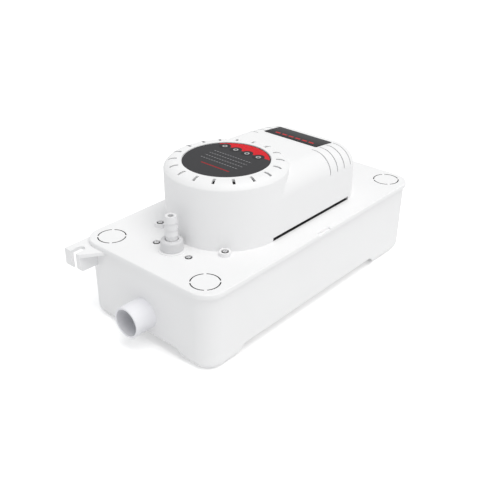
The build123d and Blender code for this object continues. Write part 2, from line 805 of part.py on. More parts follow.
# ================================================================ motor
bolt_places = [(drum_x + x, y) for x in (-bolt_x, bolt_x) for y in (-bolt_y, bolt_y)]
stack_middle = (stack_low + stack_high) / 2
bar_x = drum_x + (window_end + stack_front) / 2
bar_depth = stack_front - window_end

with BuildPart() as stator_stack:
    with BuildSketch(Plane.XY.offset(stack_low)):
        with Locations((drum_x + (stack_front - stack_back) / 2, 0)):
            Rectangle(stack_front + stack_back, 2 * stack_half_width)
        with Locations((drum_x, 0)):
            Circle(rotor_radius + rotor_air_gap, mode=Mode.SUBTRACT)
        with Locations((drum_x + (window_start + window_end) / 2, 0)):
            Rectangle(window_end - window_start, 2 * window_half_width, mode=Mode.SUBTRACT)
        with Locations(*bolt_places):
            Circle(bolt_radius, mode=Mode.SUBTRACT)
    extrude(amount=stack_thickness)
finish(stator_stack, "stator_stack")

bobbin_half = window_half_width - winding_gap
rim_grow = bobbin_wall + winding_depth + bobbin_flange / 2
with BuildPart() as coil_bobbin:
    with BuildSketch(Plane.XZ.offset(-bobbin_half)):
        with Locations((bar_x, stack_middle)):
            Rectangle(bar_depth + 2 * rim_grow, stack_thickness + 2 * rim_grow)
    extrude(amount=2 * bobbin_half)
    with BuildSketch(Plane.XZ.offset(-bobbin_half + bobbin_flange)):
        with Locations((bar_x, stack_middle)):
            Rectangle(bar_depth + 4 * rim_grow, stack_thickness + 4 * rim_grow)
            tube_depth = bar_depth + 2 * bobbin_wall
            tube_height = stack_thickness + 2 * bobbin_wall
            Rectangle(tube_depth, tube_height, mode=Mode.SUBTRACT)
    extrude(amount=2 * (bobbin_half - bobbin_flange), mode=Mode.SUBTRACT)
    with BuildSketch(Plane.XZ.offset(-bobbin_half)):
        with Locations((bar_x, stack_middle)):
            Rectangle(bar_depth, stack_thickness)
    extrude(amount=2 * bobbin_half, mode=Mode.SUBTRACT)
finish(coil_bobbin, "coil_bobbin")

with BuildPart() as coil_winding:
    with BuildSketch(Plane.XZ.offset(-bobbin_half + bobbin_flange)):
        with Locations((bar_x, stack_middle)):
            coil_depth = tube_depth + 2 * winding_depth
            coil_height = tube_height + 2 * winding_depth
            RectangleRounded(coil_depth, coil_height, winding_depth / 2)
            Rectangle(tube_depth, tube_height, mode=Mode.SUBTRACT)
    extrude(amount=2 * (bobbin_half - bobbin_flange))
finish(coil_winding, "coil_winding")

# bearing brackets: a plate with a hub that points away from the stack
for name, plate_z, way in (("lower", stack_low, -1), ("upper", stack_high, 1)):
    with BuildPart() as bearing_bracket:
        with BuildSketch(Plane.XY.offset(plate_z)):
            with Locations(*bolt_places):
                Circle(post_radius)
            make_hull()
        extrude(amount=way * bracket_thickness)
        with BuildSketch(Plane.XY.offset(plate_z + way * bracket_thickness)):
            with Locations((drum_x, 0)):
                Circle(hub_radius)
        extrude(amount=way * hub_height)
        with BuildSketch(Plane.XY.offset(plate_z)):
            with Locations((drum_x, 0)):
                Circle(bush_radius)
            with Locations(*bolt_places):
                Circle(bolt_radius)
        extrude(amount=way * bush_length, mode=Mode.SUBTRACT)
    finish(bearing_bracket, name + "_bearing_bracket")
    with BuildPart() as bush:
        with BuildSketch(Plane.XY.offset(plate_z)):
            with Locations((drum_x, 0)):
                Circle(bush_radius - fit_gap)
                Circle(shaft_radius + running_gap, mode=Mode.SUBTRACT)
        extrude(amount=way * bush_length)
    finish(bush, name + "_bush")

bolt_length = stack_high + bracket_thickness - motor_base + bolt_grip - 1
with BuildPart() as motor_bolts:
    with Locations(*[(x, y, stack_high + bracket_thickness) for x, y in bolt_places]):
        add(pan_screw(bolt_length, bolt_radius - fit_gap, 1.8 * bolt_radius))
finish(motor_bolts, "motor_bolts")

with BuildPart() as motor_shaft:
    with BuildSketch(Plane.XY.offset(shaft_low)):
        with Locations((drum_x, 0)):
            Circle(shaft_radius)
    extrude(amount=shaft_high - shaft_low)
finish(motor_shaft, "motor_shaft")

with BuildPart() as rotor_core:
    with BuildSketch(Plane.XY.offset(stack_low + rotor_end_gap)):
        with Locations((drum_x, 0)):
            Circle(rotor_radius)
            Circle(shaft_radius + fit_gap, mode=Mode.SUBTRACT)
    extrude(amount=stack_thickness - 2 * rotor_end_gap)
finish(rotor_core, "rotor_core")

with BuildPart() as cooling_fan:
    with BuildSketch(Plane.XY.offset(fan_low)):
        with Locations((drum_x, 0)):
            Circle(fan_hub_radius)
    extrude(amount=fan_height)
    with BuildSketch(Plane.XY.offset(fan_low)):
        with Locations((drum_x, 0)):
            Circle(fan_radius / 2)
    extrude(amount=blade_thickness)
    with BuildSketch(Plane.XY.offset(fan_low)):
        with Locations((drum_x, 0)):
            with PolarLocations((fan_radius + fan_hub_radius) / 2, fan_blades):
                Rectangle(fan_radius - fan_hub_radius + 2, blade_thickness)
    extrude(amount=fan_height)
    with BuildSketch(Plane.XY.offset(fan_low)):
        with Locations((drum_x, 0)):
            Circle(shaft_radius + fit_gap)
    extrude(amount=fan_height, mode=Mode.SUBTRACT)
finish(cooling_fan, "cooling_fan")

# ================================================================ pump in the tank
nozzle_z = (volute_low + volute_high) / 2
nozzle_tip_x = drum_x - volute_radius - nozzle_length
lug_places = [
    (drum_x + (volute_radius + screw_radius) * cos(radians(a)), (volute_radius + screw_radius) * sin(radians(a)))
    for a in lug_turns
]
pump_flange_low = tank_height - pump_flange_thickness
with BuildPart() as pump_body:
    with BuildSketch(Plane.XY.offset(tank_height)):
        with Locations((drum_x, 0)):
            Circle(pump_flange_radius)
    extrude(amount=-pump_flange_thickness)
    with BuildSketch(Plane.XY.offset(tank_height)):
        with Locations((drum_x, 0)):
            Circle(collar_radius)
    extrude(amount=lid_thickness)
    with BuildSketch(Plane.XY.offset(volute_high)):
        with Locations((drum_x, 0)):
            Circle(column_radius)
    extrude(amount=pump_flange_low - volute_high)
    with BuildSketch(Plane.XY.offset(volute_low)):
        with Locations((drum_x, 0)):
            Circle(volute_radius)
        with Locations(*lug_places):
            Circle(boss_radius)
    extrude(amount=volute_high - volute_low)
    with BuildSketch(Plane.YZ.offset(drum_x)):
        with Locations((0, nozzle_z)):
            Circle(valve_spigot_radius)
    extrude(amount=-(volute_radius + nozzle_length))
    with BuildSketch(Plane.XY.offset(volute_low)):
        with Locations((drum_x, 0)):
            Circle(volute_radius - volute_wall)
    extrude(amount=volute_high - volute_low - volute_wall, mode=Mode.SUBTRACT)
    with BuildSketch(Plane.YZ.offset(drum_x - impeller_radius)):
        with Locations((0, nozzle_z)):
            Circle(valve_spigot_bore)
    extrude(amount=-(volute_radius + nozzle_length), mode=Mode.SUBTRACT)
    with BuildSketch(Plane.XY.offset(volute_low)):
        with Locations((drum_x, 0)):
            Circle(column_bore)
    extrude(amount=lid_top - volute_low, mode=Mode.SUBTRACT)
    # drain slots near the top of the column
    with Locations((drum_x, 0, pump_flange_low - column_slot_height)):
        Box(3 * column_radius, column_slot, column_slot_height, mode=Mode.SUBTRACT)
        Box(column_slot, 3 * column_radius, column_slot_height, mode=Mode.SUBTRACT)
    with BuildSketch(Plane.XY.offset(tank_height)):
        with Locations(*pump_screw_places):
            Circle(screw_radius)
    extrude(amount=-pump_flange_thickness, mode=Mode.SUBTRACT)
    with BuildSketch(Plane.XY.offset(volute_low)):
        with Locations(*lug_places):
            Circle(screw_radius)
    extrude(amount=boss_depth, mode=Mode.SUBTRACT)
finish(pump_body, "pump_body")

volute_cover_low = volute_low - volute_cover_thickness
with BuildPart() as volute_cover:
    with BuildSketch(Plane.XY.offset(volute_cover_low)):
        with Locations((drum_x, 0)):
            Circle(volute_radius)
        with Locations(*lug_places):
            Circle(boss_radius)
        with Locations((drum_x, 0)):
            Circle(inlet_radius, mode=Mode.SUBTRACT)
        with Locations(*lug_places):
            Circle(screw_radius, mode=Mode.SUBTRACT)
    extrude(amount=volute_cover_thickness)
    bar_middle = (inlet_radius + impeller_radius) / 2
    with BuildSketch(Plane.XY.offset(volute_cover_low)):
        with Locations((drum_x, 0)):
            with PolarLocations(bar_middle + 1, strainer_bars):
                Rectangle(impeller_radius - inlet_radius, strainer_bar)
    extrude(amount=-strainer_depth)
finish(volute_cover, "volute_cover")

# screws that point up: through the pump's flange, and through the volute's cover
turned = Location((0, 0, 0), (180, 0, 0))
flange_screw_length = pump_flange_thickness + lid_thickness
cover_screw_length = volute_cover_thickness + boss_depth - 2
with BuildPart() as pump_screws:
    with Locations(*[Location((x, y, pump_flange_low)) * turned for x, y in pump_screw_places]):
        add(pan_screw(flange_screw_length, screw_radius - fit_gap))
finish(pump_screws, "pump_screws")

with BuildPart() as volute_screws:
    with Locations(*[Location((x, y, volute_cover_low)) * turned for x, y in lug_places]):
        add(pan_screw(cover_screw_length, screw_radius - fit_gap))
finish(volute_screws, "volute_screws")

with BuildPart() as impeller:
    with BuildSketch(Plane.XY.offset(impeller_low + impeller_height)):
        with Locations((drum_x, 0)):
            Circle(impeller_radius)
    extrude(amount=-impeller_disc)
    with BuildSketch(Plane.XY.offset(impeller_low)):
        with Locations((drum_x, 0)):
            Circle(impeller_hub)
            with PolarLocations((impeller_radius + impeller_hub) / 2, impeller_blades):
                Rectangle(impeller_radius - impeller_hub, blade_thickness, rotation=25)
    extrude(amount=impeller_height)
    with BuildSketch(Plane.XY.offset(impeller_low)):
        with Locations((drum_x, 0)):
            Circle(shaft_radius + fit_gap)
    extrude(amount=impeller_height, mode=Mode.SUBTRACT)
finish(impeller, "impeller")

# hose from the volute's nozzle up to the check valve
hose_start_x = nozzle_tip_x + hose_grip
hose_end_z = valve_spigot_low + hose_grip
with BuildPart() as discharge_hose:
    with BuildLine() as hose_path:
        FilletPolyline(
            (hose_start_x, 0, nozzle_z),
            (valve_x, 0, nozzle_z),
            (valve_x, 0, hose_end_z),
            radius=hose_bend,
        )
    with BuildSketch(Plane.YZ.offset(hose_start_x)):
        with Locations((0, nozzle_z)):
            Circle(valve_spigot_radius + fit_gap + hose_wall)
            Circle(valve_spigot_radius + fit_gap, mode=Mode.SUBTRACT)
    sweep(path=hose_path.wires()[0])
finish(discharge_hose, "discharge_hose")

# ================================================================ float
with BuildPart() as float_pin:
    with BuildSketch(Plane.XZ.offset(-lug_inner_y - lug_thickness)):
        with Locations((pivot_x, pivot_z)):
            Circle(pin_radius - fit_gap)
    extrude(amount=2 * (lug_inner_y + lug_thickness))
finish(float_pin, "float_pin")

arm_half = lug_inner_y - arm_hub_gap
with BuildPart() as float_arm:
    with BuildSketch(Plane.XZ.offset(-arm_half)):
        with Locations((pivot_x, pivot_z)):
            Circle(arm_hub_radius)
    extrude(amount=2 * arm_half)
    with Locations((pivot_x + stem_reach / 2, 0, pivot_z)):
        Box(stem_reach + arm_thickness, arm_width, arm_thickness)
    stem_height = pivot_z - float_low - float_height
    with Locations((pivot_x + stem_reach, 0, pivot_z - stem_height / 2)):
        Box(arm_thickness, arm_width, stem_height)
    with Locations((pivot_x + stem_reach, 0, float_low + float_height + arm_thickness / 4)):
        Box(float_length / 3, float_width / 3, arm_thickness / 2)
    with Locations((pivot_x, 0, pivot_z + horn_height / 2)):
        Box(horn_thickness, horn_width, horn_height)
    with BuildSketch(Plane.XZ.offset(-bar_half_length)):
        with Locations((pivot_x, pivot_z + horn_height)):
            Circle(bar_radius)
    extrude(amount=2 * bar_half_length)
    with BuildSketch(Plane.XZ.offset(-tank_width / 2)):
        with Locations((pivot_x, pivot_z)):
            Circle(pin_radius + running_gap)
    extrude(amount=tank_width, mode=Mode.SUBTRACT)
finish(float_arm, "float_arm")

with BuildPart() as float_block:
    with BuildSketch(Plane.XY.offset(float_low)):
        with Locations((float_x, 0)):
            RectangleRounded(float_length, float_width, float_corner)
    extrude(amount=float_height)
    fillet(float_block.edges().group_by(Axis.Z)[0], 2)
    fillet(float_block.edges().group_by(Axis.Z)[-1], 2)
finish(float_block, "float_block")

# ================================================================ switches on their bracket
base_top = lid_top + plate_thickness
hinge_x = switch_front_x + lever_stand_off
hinge_z = switch_high - lever_hinge_drop
plunger_z = switch_high - plunger_drop
# each lever leans out until it stands just clear of the bar on the float's horn
bar_run = pivot_x - hinge_x
bar_fall = hinge_z - (pivot_z + horn_height)
bar_clear = bar_radius + lever_thickness / 2 + lever_gap
lever_angle = degrees(atan(bar_run / bar_fall) - asin(bar_clear / sqrt(bar_run**2 + bar_fall**2)))
# each plunger ends just short of its lever
plunger_arm = hinge_z - plunger_z - plunger_radius
lever_face = plunger_arm * tan(radians(lever_angle)) - lever_thickness / 2 / cos(radians(lever_angle))
plunger_tip_x = hinge_x + lever_face - plunger_gap
switch_screw_places = [
    (switch_base_x, switch_low + switch_screw_drop),
    (switch_base_x, switch_high - switch_screw_drop),
]
with BuildPart() as switch_bracket:
    with BuildSketch(Plane.XY.offset(lid_top)):
        with Locations((switch_base_x, 0)):
            Rectangle(switch_depth, 2 * base_half_width)
        with Locations(*switch_base_places):
            Circle(screw_radius, mode=Mode.SUBTRACT)
    extrude(amount=plate_thickness)
    with Locations((switch_base_x, 0, (lid_top + switch_high) / 2)):
        Box(switch_depth - 2, plate_thickness, switch_high - lid_top)
    with BuildSketch(Plane.XZ.offset(-plate_thickness)):
        with Locations(*switch_screw_places):
            Circle(switch_screw_radius)
    extrude(amount=2 * plate_thickness, mode=Mode.SUBTRACT)
finish(switch_bracket, "switch_bracket")

with BuildPart() as bracket_screws:
    with Locations(*[(x, y, base_top) for x, y in switch_base_places]):
        add(pan_screw(screw_length, screw_radius - fit_gap))
finish(bracket_screws, "bracket_screws")

for name, side in (("run_switch", 1), ("safety_switch", -1)):
    middle_y = side * (plate_thickness + switch_width) / 2
    lug_offset = lever_width / 2 + 0.3 + 0.5
    with BuildPart() as switch_body:
        with Locations((switch_base_x, middle_y, (switch_low + switch_high) / 2)):
            Box(switch_depth, switch_width, switch_length)
        fillet(switch_body.edges().filter_by(Axis.Y), 0.8)
        # lugs and pin of the lever's hinge
        for way in (-1, 1):
            with Locations((switch_front_x + lever_stand_off / 2, middle_y + way * lug_offset, hinge_z)):
                Box(lever_stand_off + 2 * lever_eye, 1, 2 * lever_eye)
        with BuildSketch(Plane.XZ.offset(-middle_y - lug_offset)):
            with Locations((hinge_x, hinge_z)):
                Circle(lever_pin)
        extrude(amount=2 * lug_offset)
        with BuildSketch(Plane.YZ.offset(switch_front_x)):
            with Locations((middle_y, plunger_z)):
                Circle(plunger_radius + plunger_gap)
        extrude(amount=-plunger_hole, mode=Mode.SUBTRACT)
        with BuildSketch(Plane.XZ.offset(-middle_y - switch_width)):
            with Locations(*switch_screw_places):
                Circle(switch_screw_radius)
        extrude(amount=2 * switch_width, mode=Mode.SUBTRACT)
        # three flat terminals at the back
        for i in (-1, 0, 1):
            tab_z = (switch_low + switch_high) / 2 + i * switch_length / 3
            with Locations((switch_front_x - switch_depth - tab_length / 2, middle_y, tab_z)):
                Box(tab_length, tab_width, tab_thickness)
    finish(switch_body, name)

    with BuildPart() as plunger:
        with BuildSketch(Plane.YZ.offset(plunger_tip_x)):
            with Locations((middle_y, plunger_z)):
                Circle(plunger_radius)
        extrude(amount=-plunger_hole)
    finish(plunger, name + "_plunger")

    swing = radians(lever_angle)
    lever_plane = Plane(
        origin=(hinge_x, middle_y, hinge_z),
        x_dir=(sin(swing), 0, -cos(swing)),
        z_dir=(cos(swing), 0, sin(swing)),
    )
    with BuildPart() as lever:
        with BuildSketch(lever_plane.offset(-lever_thickness / 2)):
            with Locations((lever_length / 2, 0)):
                Rectangle(lever_length, lever_width)
        extrude(amount=lever_thickness)
        with BuildSketch(Plane.XZ.offset(-middle_y - lever_width / 2)):
            with Locations((hinge_x, hinge_z)):
                Circle(lever_eye)
        extrude(amount=lever_width)
        with BuildSketch(Plane.XZ.offset(-middle_y - lever_width / 2)):
            with Locations((hinge_x, hinge_z)):
                Circle(lever_pin + lever_pin_gap)
        extrude(amount=lever_width, mode=Mode.SUBTRACT)
    finish(lever, name + "_lever")

pair_half_width = switch_width + plate_thickness / 2
sideways = Location((0, 0, 0), (-90, 0, 0))
with BuildPart() as switch_screws:
    with Locations(*[Location((x, pair_half_width, z)) * sideways for x, z in switch_screw_places]):
        spare = switch_nut_height + switch_screw_spare
        add(pan_screw(2 * pair_half_width + spare, switch_screw_radius - fit_gap, switch_screw_head))
finish(switch_screws, "switch_screws")

with BuildPart() as switch_nuts:
    with BuildSketch(Plane.XZ.offset(pair_half_width)):
        with Locations(*switch_screw_places):
            RegularPolygon(2 * switch_screw_radius, 6)
            Circle(switch_screw_radius, mode=Mode.SUBTRACT)
    extrude(amount=switch_nut_height)
finish(switch_nuts, "switch_nuts")

# ================================================================ terminals and grommet
terminal_places = [(terminal_x + i * terminal_length / 3, terminal_y) for i in (-1, 0, 1)]
with BuildPart() as terminal_block:
    with BuildSketch(Plane.XY.offset(lid_top)):
        with Locations((terminal_x, terminal_y)):
            Rectangle(terminal_length, terminal_width)
    extrude(amount=terminal_height)
    with BuildSketch(Plane.XY.offset(lid_top + terminal_height)):
        with Locations(*terminal_places):
            Circle(pocket_radius - 0.5)
    extrude(amount=-head_height, mode=Mode.SUBTRACT)
    with BuildSketch(Plane.XY.offset(lid_top + terminal_height)):
        with Locations(*terminal_places):
            Circle(screw_radius)
    extrude(amount=-boss_depth, mode=Mode.SUBTRACT)
finish(terminal_block, "terminal_block")

with BuildPart() as terminal_screws:
    with Locations(*[(x, y, lid_top + terminal_height - head_height) for x, y in terminal_places]):
        add(pan_screw(boss_depth - 3, screw_radius - fit_gap, pocket_radius - 0.6))
finish(terminal_screws, "terminal_screws")

with BuildPart() as cord_grommet:
    with BuildSketch(Plane.YZ.offset(body_end_x - cover_wall - grommet_rim)):
        with Locations((0, lid_top + grommet_z)):
            Circle(grommet_hole + grommet_rim)
    extrude(amount=cover_wall + 2 * grommet_rim)
    with BuildSketch(Plane.YZ.offset(body_end_x - cover_wall)):
        with Locations((0, lid_top + grommet_z)):
            Circle(2 * grommet_hole)
            Circle(grommet_hole - fit_gap, mode=Mode.SUBTRACT)
    extrude(amount=cover_wall, mode=Mode.SUBTRACT)
    with BuildSketch(Plane.YZ.offset(body_end_x + 2 * grommet_rim)):
        with Locations((0, lid_top + grommet_z)):
            Circle(grommet_bore)
    extrude(amount=-(cover_wall + 4 * grommet_rim), mode=Mode.SUBTRACT)
finish(cord_grommet, "cord_grommet")
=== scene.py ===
from math import asin, atan2, cos, hypot, pi, radians, sin, tan

import bpy
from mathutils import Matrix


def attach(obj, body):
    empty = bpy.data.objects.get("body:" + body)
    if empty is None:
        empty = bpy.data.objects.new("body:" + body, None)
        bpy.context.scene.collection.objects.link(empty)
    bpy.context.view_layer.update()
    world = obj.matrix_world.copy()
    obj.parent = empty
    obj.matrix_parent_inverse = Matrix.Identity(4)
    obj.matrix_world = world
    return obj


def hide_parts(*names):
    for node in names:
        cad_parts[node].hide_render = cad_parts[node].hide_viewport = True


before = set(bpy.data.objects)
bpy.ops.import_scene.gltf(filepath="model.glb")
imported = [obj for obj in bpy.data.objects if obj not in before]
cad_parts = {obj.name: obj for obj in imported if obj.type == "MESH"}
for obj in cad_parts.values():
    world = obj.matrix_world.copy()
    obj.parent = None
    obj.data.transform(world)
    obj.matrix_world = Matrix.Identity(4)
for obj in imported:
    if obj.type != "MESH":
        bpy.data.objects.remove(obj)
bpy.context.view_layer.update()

# ---------------------------------------------------------------------------
# Studio. The pump stands on a plain white sweep under an even white sky, with
# one wide soft lamp over its long front side.
# ---------------------------------------------------------------------------
bpy.context.scene.view_settings.view_transform = "Standard"

camera_place = (-0.4652, -0.3924, 0.3707)
camera_pitch = 28.784
camera_turn = 48.271
camera_lens = 57.29
sky_strength, sky_colour = 0.62, (0.97, 0.985, 1.0, 1)
lamp_tilt, lamp_spread = 21, 45
lamp_energy, lamp_colour = 1.45, (1.0, 0.985, 0.96)
sweep_size, sweep_drop = 12, 0.0005
paper_tone, paper_glow_share = 0.94, 0.34


def calc(nodes, links, kind, *values, clamp=False):
    """One Math node; each value is a number or another node's output."""
    node = nodes.new("ShaderNodeMath")
    node.operation = kind
    node.use_clamp = clamp
    for i, value in enumerate(values):
        if isinstance(value, (int, float)):
            node.inputs[i].default_value = value
        else:
            links.new(value, node.inputs[i])
    return node.outputs[0]


bpy.ops.object.select_all(action="DESELECT")
bpy.ops.object.camera_add(
    location=camera_place,
    rotation=(radians(90 - camera_pitch), 0, -radians(camera_turn)),
)
camera = bpy.context.object
camera.name = "studio_camera"
camera.data.lens = camera_lens
camera.data.sensor_width = 36
bpy.context.scene.camera = camera

sky = bpy.data.worlds.new("white_sky")
sky.use_nodes = True
bpy.context.scene.world = sky
sky_nodes, sky_links = sky.node_tree.nodes, sky.node_tree.links
sky_nodes.clear()
seen_sky = sky_nodes.new("ShaderNodeBackground")
seen_sky.inputs["Color"].default_value = (1, 1, 1, 1)
seen_sky.inputs["Strength"].default_value = 1.0
lighting_sky = sky_nodes.new("ShaderNodeBackground")
lighting_sky.inputs["Color"].default_value = sky_colour
lighting_sky.inputs["Strength"].default_value = sky_strength
# the bright sky is what is seen directly, in reflections and through clear parts
rays = sky_nodes.new("ShaderNodeLightPath").outputs
seen = calc(sky_nodes, sky_links, "MAXIMUM", rays["Is Camera Ray"], rays["Is Glossy Ray"])
seen = calc(sky_nodes, sky_links, "MAXIMUM", seen, rays["Is Transmission Ray"])
sky_choice = sky_nodes.new("ShaderNodeMixShader")
sky_links.new(seen, sky_choice.inputs["Fac"])
sky_links.new(lighting_sky.outputs[0], sky_choice.inputs[1])
sky_links.new(seen_sky.outputs[0], sky_choice.inputs[2])
sky_out = sky_nodes.new("ShaderNodeOutputWorld")
sky_links.new(sky_choice.outputs[0], sky_out.inputs["Surface"])

bpy.ops.object.select_all(action="DESELECT")
bpy.ops.object.light_add(type="SUN", rotation=(radians(lamp_tilt), 0, 0))
lamp = bpy.context.object
lamp.name = "soft_front_lamp"
lamp.data.energy = lamp_energy
lamp.data.angle = radians(lamp_spread)
lamp.data.color = lamp_colour

bpy.ops.object.select_all(action="DESELECT")
bpy.ops.mesh.primitive_plane_add(size=sweep_size, location=(0, 0, -sweep_drop))
sweep = bpy.context.object
sweep.name = "white_sweep"
sweep_finish = bpy.data.materials.new("white_paper")
sweep_finish.use_nodes = True
paper_nodes, paper_links = sweep_finish.node_tree.nodes, sweep_finish.node_tree.links
paper_nodes.clear()
paper = paper_nodes.new("ShaderNodeBsdfDiffuse")
paper.inputs["Color"].default_value = (paper_tone, paper_tone, paper_tone, 1)
paper_glow = paper_nodes.new("ShaderNodeEmission")
paper_rays = paper_nodes.new("ShaderNodeLightPath").outputs
glow = calc(paper_nodes, paper_links, "MULTIPLY", paper_rays["Is Camera Ray"], paper_glow_share)
paper_links.new(glow, paper_glow.inputs["Strength"])
paper_sum = paper_nodes.new("ShaderNodeAddShader")
paper_links.new(paper.outputs[0], paper_sum.inputs[0])
paper_links.new(paper_glow.outputs[0], paper_sum.inputs[1])
paper_out = paper_nodes.new("ShaderNodeOutputMaterial")
paper_links.new(paper_sum.outputs[0], paper_out.inputs["Surface"])
sweep.data.materials.append(sweep_finish)

# ---------------------------------------------------------------------------
# Tank. One white polypropylene moulding: straight walls that lean in a little
# towards the floor, four corner feet between low arches, and a slotted
# hanging ear on two ribs at each end.
# ---------------------------------------------------------------------------
tank_length, tank_width, tank_height = 0.2785, 0.1414, 0.0688
tank_corner, tank_wall = 0.016, 0.003
tank_floor_top = 0.0126
draft = tan(radians(0.6))
foot_height, foot_ramp = 0.010, 0.015
arch_half_length, arch_half_width, arch_middle = 0.08675, 0.0327, -0.0095
foot_edge = 0.0075
inlet_radius, inlet_z = 0.01325, 0.0276


def select_none():
    """Leaves edit mode and deselects everything."""
    if bpy.context.object and bpy.context.object.mode != "OBJECT":
        bpy.ops.object.mode_set(mode="OBJECT")
    bpy.ops.object.select_all(action="DESELECT")


def lone_select(piece):
    """Makes a piece the only one selected, and the active one."""
    select_none()
    piece.select_set(True)
    bpy.context.view_layer.objects.active = piece


def pick(piece, kind, test):
    """Opens a piece for editing with the faces, edges or points chosen that pass the test."""
    lone_select(piece)
    bpy.ops.object.mode_set(mode="EDIT")
    bpy.ops.mesh.select_mode(type=kind)
    bpy.ops.mesh.select_all(action="DESELECT")
    bpy.ops.object.mode_set(mode="OBJECT")
    mesh = piece.data
    if kind == "FACE":
        for face in mesh.polygons:
            face.select = test(face.center, face.normal)
    elif kind == "EDGE":
        for edge in mesh.edges:
            edge.select = test(*(mesh.vertices[i].co for i in edge.vertices))
    else:
        for point in mesh.vertices:
            point.select = test(point.co)
    bpy.ops.object.mode_set(mode="EDIT")


def round_uprights(piece, radius, segments, shortest=0.003):
    """Rounds the upright edges of a piece."""
    pick(piece, "EDGE", lambda a, b: abs(a.z - b.z) > shortest)
    bpy.ops.mesh.bevel(offset=radius, segments=segments)


def drag(piece, way):
    """Drags a flat shape along a way, into a closed solid."""
    lone_select(piece)
    bpy.ops.object.mode_set(mode="EDIT")
    bpy.ops.mesh.select_all(action="SELECT")
    bpy.ops.mesh.extrude_region_move(TRANSFORM_OT_translate={"value": way})
    bpy.ops.mesh.select_all(action="SELECT")
    bpy.ops.mesh.normals_make_consistent(inside=False)
    bpy.ops.object.mode_set(mode="OBJECT")


def block(name, low, high):
    """A cube between two corners."""
    select_none()
    middle = [(a + b) / 2 for a, b in zip(low, high)]
    size = [b - a for a, b in zip(low, high)]
    bpy.ops.mesh.primitive_cube_add(size=1, location=middle, scale=size)
    piece = bpy.context.object
    piece.name = name
    bpy.ops.object.transform_apply(location=True, rotation=True, scale=True)
    return piece


def disc(name, centre, radius, depth, points=64, turn=(0, 0, 0)):
    """A cylinder whose middle is at centre."""
    select_none()
    bpy.ops.mesh.primitive_cylinder_add(
        vertices=points, radius=radius, depth=depth, location=centre, rotation=turn
    )
    piece = bpy.context.object
    piece.name = name
    bpy.ops.object.transform_apply(location=True, rotation=True, scale=True)
    return piece


def combine(piece, other, how="DIFFERENCE"):
    """Cuts another shape out of a piece, or welds it on, and clears that shape away."""
    lone_select(piece)
    bpy.ops.object.modifier_add(type="BOOLEAN")
    step = piece.modifiers[-1]
    step.operation = how
    step.solver = "EXACT"
    step.material_mode = "TRANSFER"
    step.object = other
    bpy.ops.object.modifier_apply(modifier=step.name)
    bpy.data.meshes.remove(other.data)


def joined(pieces, name):
    """Several pieces made one object."""
    select_none()
    for piece in pieces:
        piece.select_set(True)
    bpy.context.view_layer.objects.active = pieces[0]
    bpy.ops.object.join()
    pieces[0].name = name
    return pieces[0]


def copied(piece, move=(0, 0, 0), flip=(1, 1, 1), turn=0.0):
    """A copy with its own mesh: flipped, turned about the upright axis, then moved."""
    twin = piece.copy()
    twin.data = piece.data.copy()
    bpy.context.collection.objects.link(twin)
    for point in twin.data.vertices:
        x, y, z = (c * f for c, f in zip(point.co, flip))
        x, y = x * cos(turn) - y * sin(turn), x * sin(turn) + y * cos(turn)
        point.co = (x + move[0], y + move[1], z + move[2])
    if flip[0] * flip[1] * flip[2] < 0:
        twin.data.flip_normals()
    return twin


def soften(piece, width, steps=2, limit=35):
    """Rounds the sharp edges of a finished shape and shades it smooth."""
    lone_select(piece)
    if width:
        bpy.ops.object.modifier_add(type="BEVEL")
        step = piece.modifiers[-1]
        step.width = width
        step.segments = steps
        step.limit_method = "ANGLE"
        step.angle_limit = radians(limit)
        step.use_clamp_overlap = True
        bpy.ops.object.modifier_apply(modifier=step.name)
    bpy.ops.object.shade_smooth_by_angle(angle=radians(34))
    bpy.ops.object.modifier_add(type="WEIGHTED_NORMAL")
    step = piece.modifiers[-1]
    step.keep_sharp = True
    bpy.ops.object.modifier_apply(modifier=step.name)


# shell: four upright corners rounded, the foot of the walls drawn in
half_length, half_width = tank_length / 2, tank_width / 2
tank = block("tank_moulding", (-half_length, -half_width, 0), (half_length, half_width, tank_height))
round_uprights(tank, tank_corner, 14)
pick(tank, "VERT", lambda p: p.z < 0.001)
lean = tank_height * draft
bpy.ops.transform.resize(value=(1 - 2 * lean / tank_length, 1 - 2 * lean / tank_width, 1))
pick(tank, "EDGE", lambda a, b: a.z < 0.001 and b.z < 0.001)
bpy.ops.mesh.bevel(offset=foot_edge, segments=8)
# hollow
pick(tank, "FACE", lambda c, n: n.z > 0.9 and c.z > tank_height - 0.001)
bpy.ops.mesh.inset(thickness=tank_wall)
bpy.ops.mesh.extrude_region_move(TRANSFORM_OT_translate={"value": (0, 0, tank_floor_top - tank_height)})


def arch_cutter(name, half_span, half_depth, along_x, middle=0.0):
    """A long bar whose top swells from the floor to the arch in two opposite curves."""
    run = half_span + foot_ramp
    # most of the grid's lines go to the two ramps
    flat_share = 0.3
    start = -0.0002
    select_none()
    bpy.ops.mesh.primitive_grid_add(x_subdivisions=80, y_subdivisions=1, size=2)
    bar = bpy.context.object
    bar.name = name
    for point in bar.data.vertices:
        place = point.co.x
        if abs(place) < flat_share:
            reach = place / flat_share * half_span
        else:
            ramp_share = (abs(place) - flat_share) / (1 - flat_share)
            reach = (half_span + ramp_share * foot_ramp) * (1 if place > 0 else -1)
        step = min(max((run - abs(reach)) / foot_ramp, 0), 1)
        rise = 2 * step**2 if step < 0.5 else 1 - 2 * (1 - step) ** 2
        height = start + (foot_height - start) * rise
        side = point.co.y * half_depth
        point.co = (middle + reach, side, height) if along_x else (-side, reach, height)
    drag(bar, (0, 0, -0.01))
    return bar


combine(tank, arch_cutter("long_arch", arch_half_length, 0.1, True, arch_middle))
combine(tank, arch_cutter("cross_arch", arch_half_width, 0.2, False))

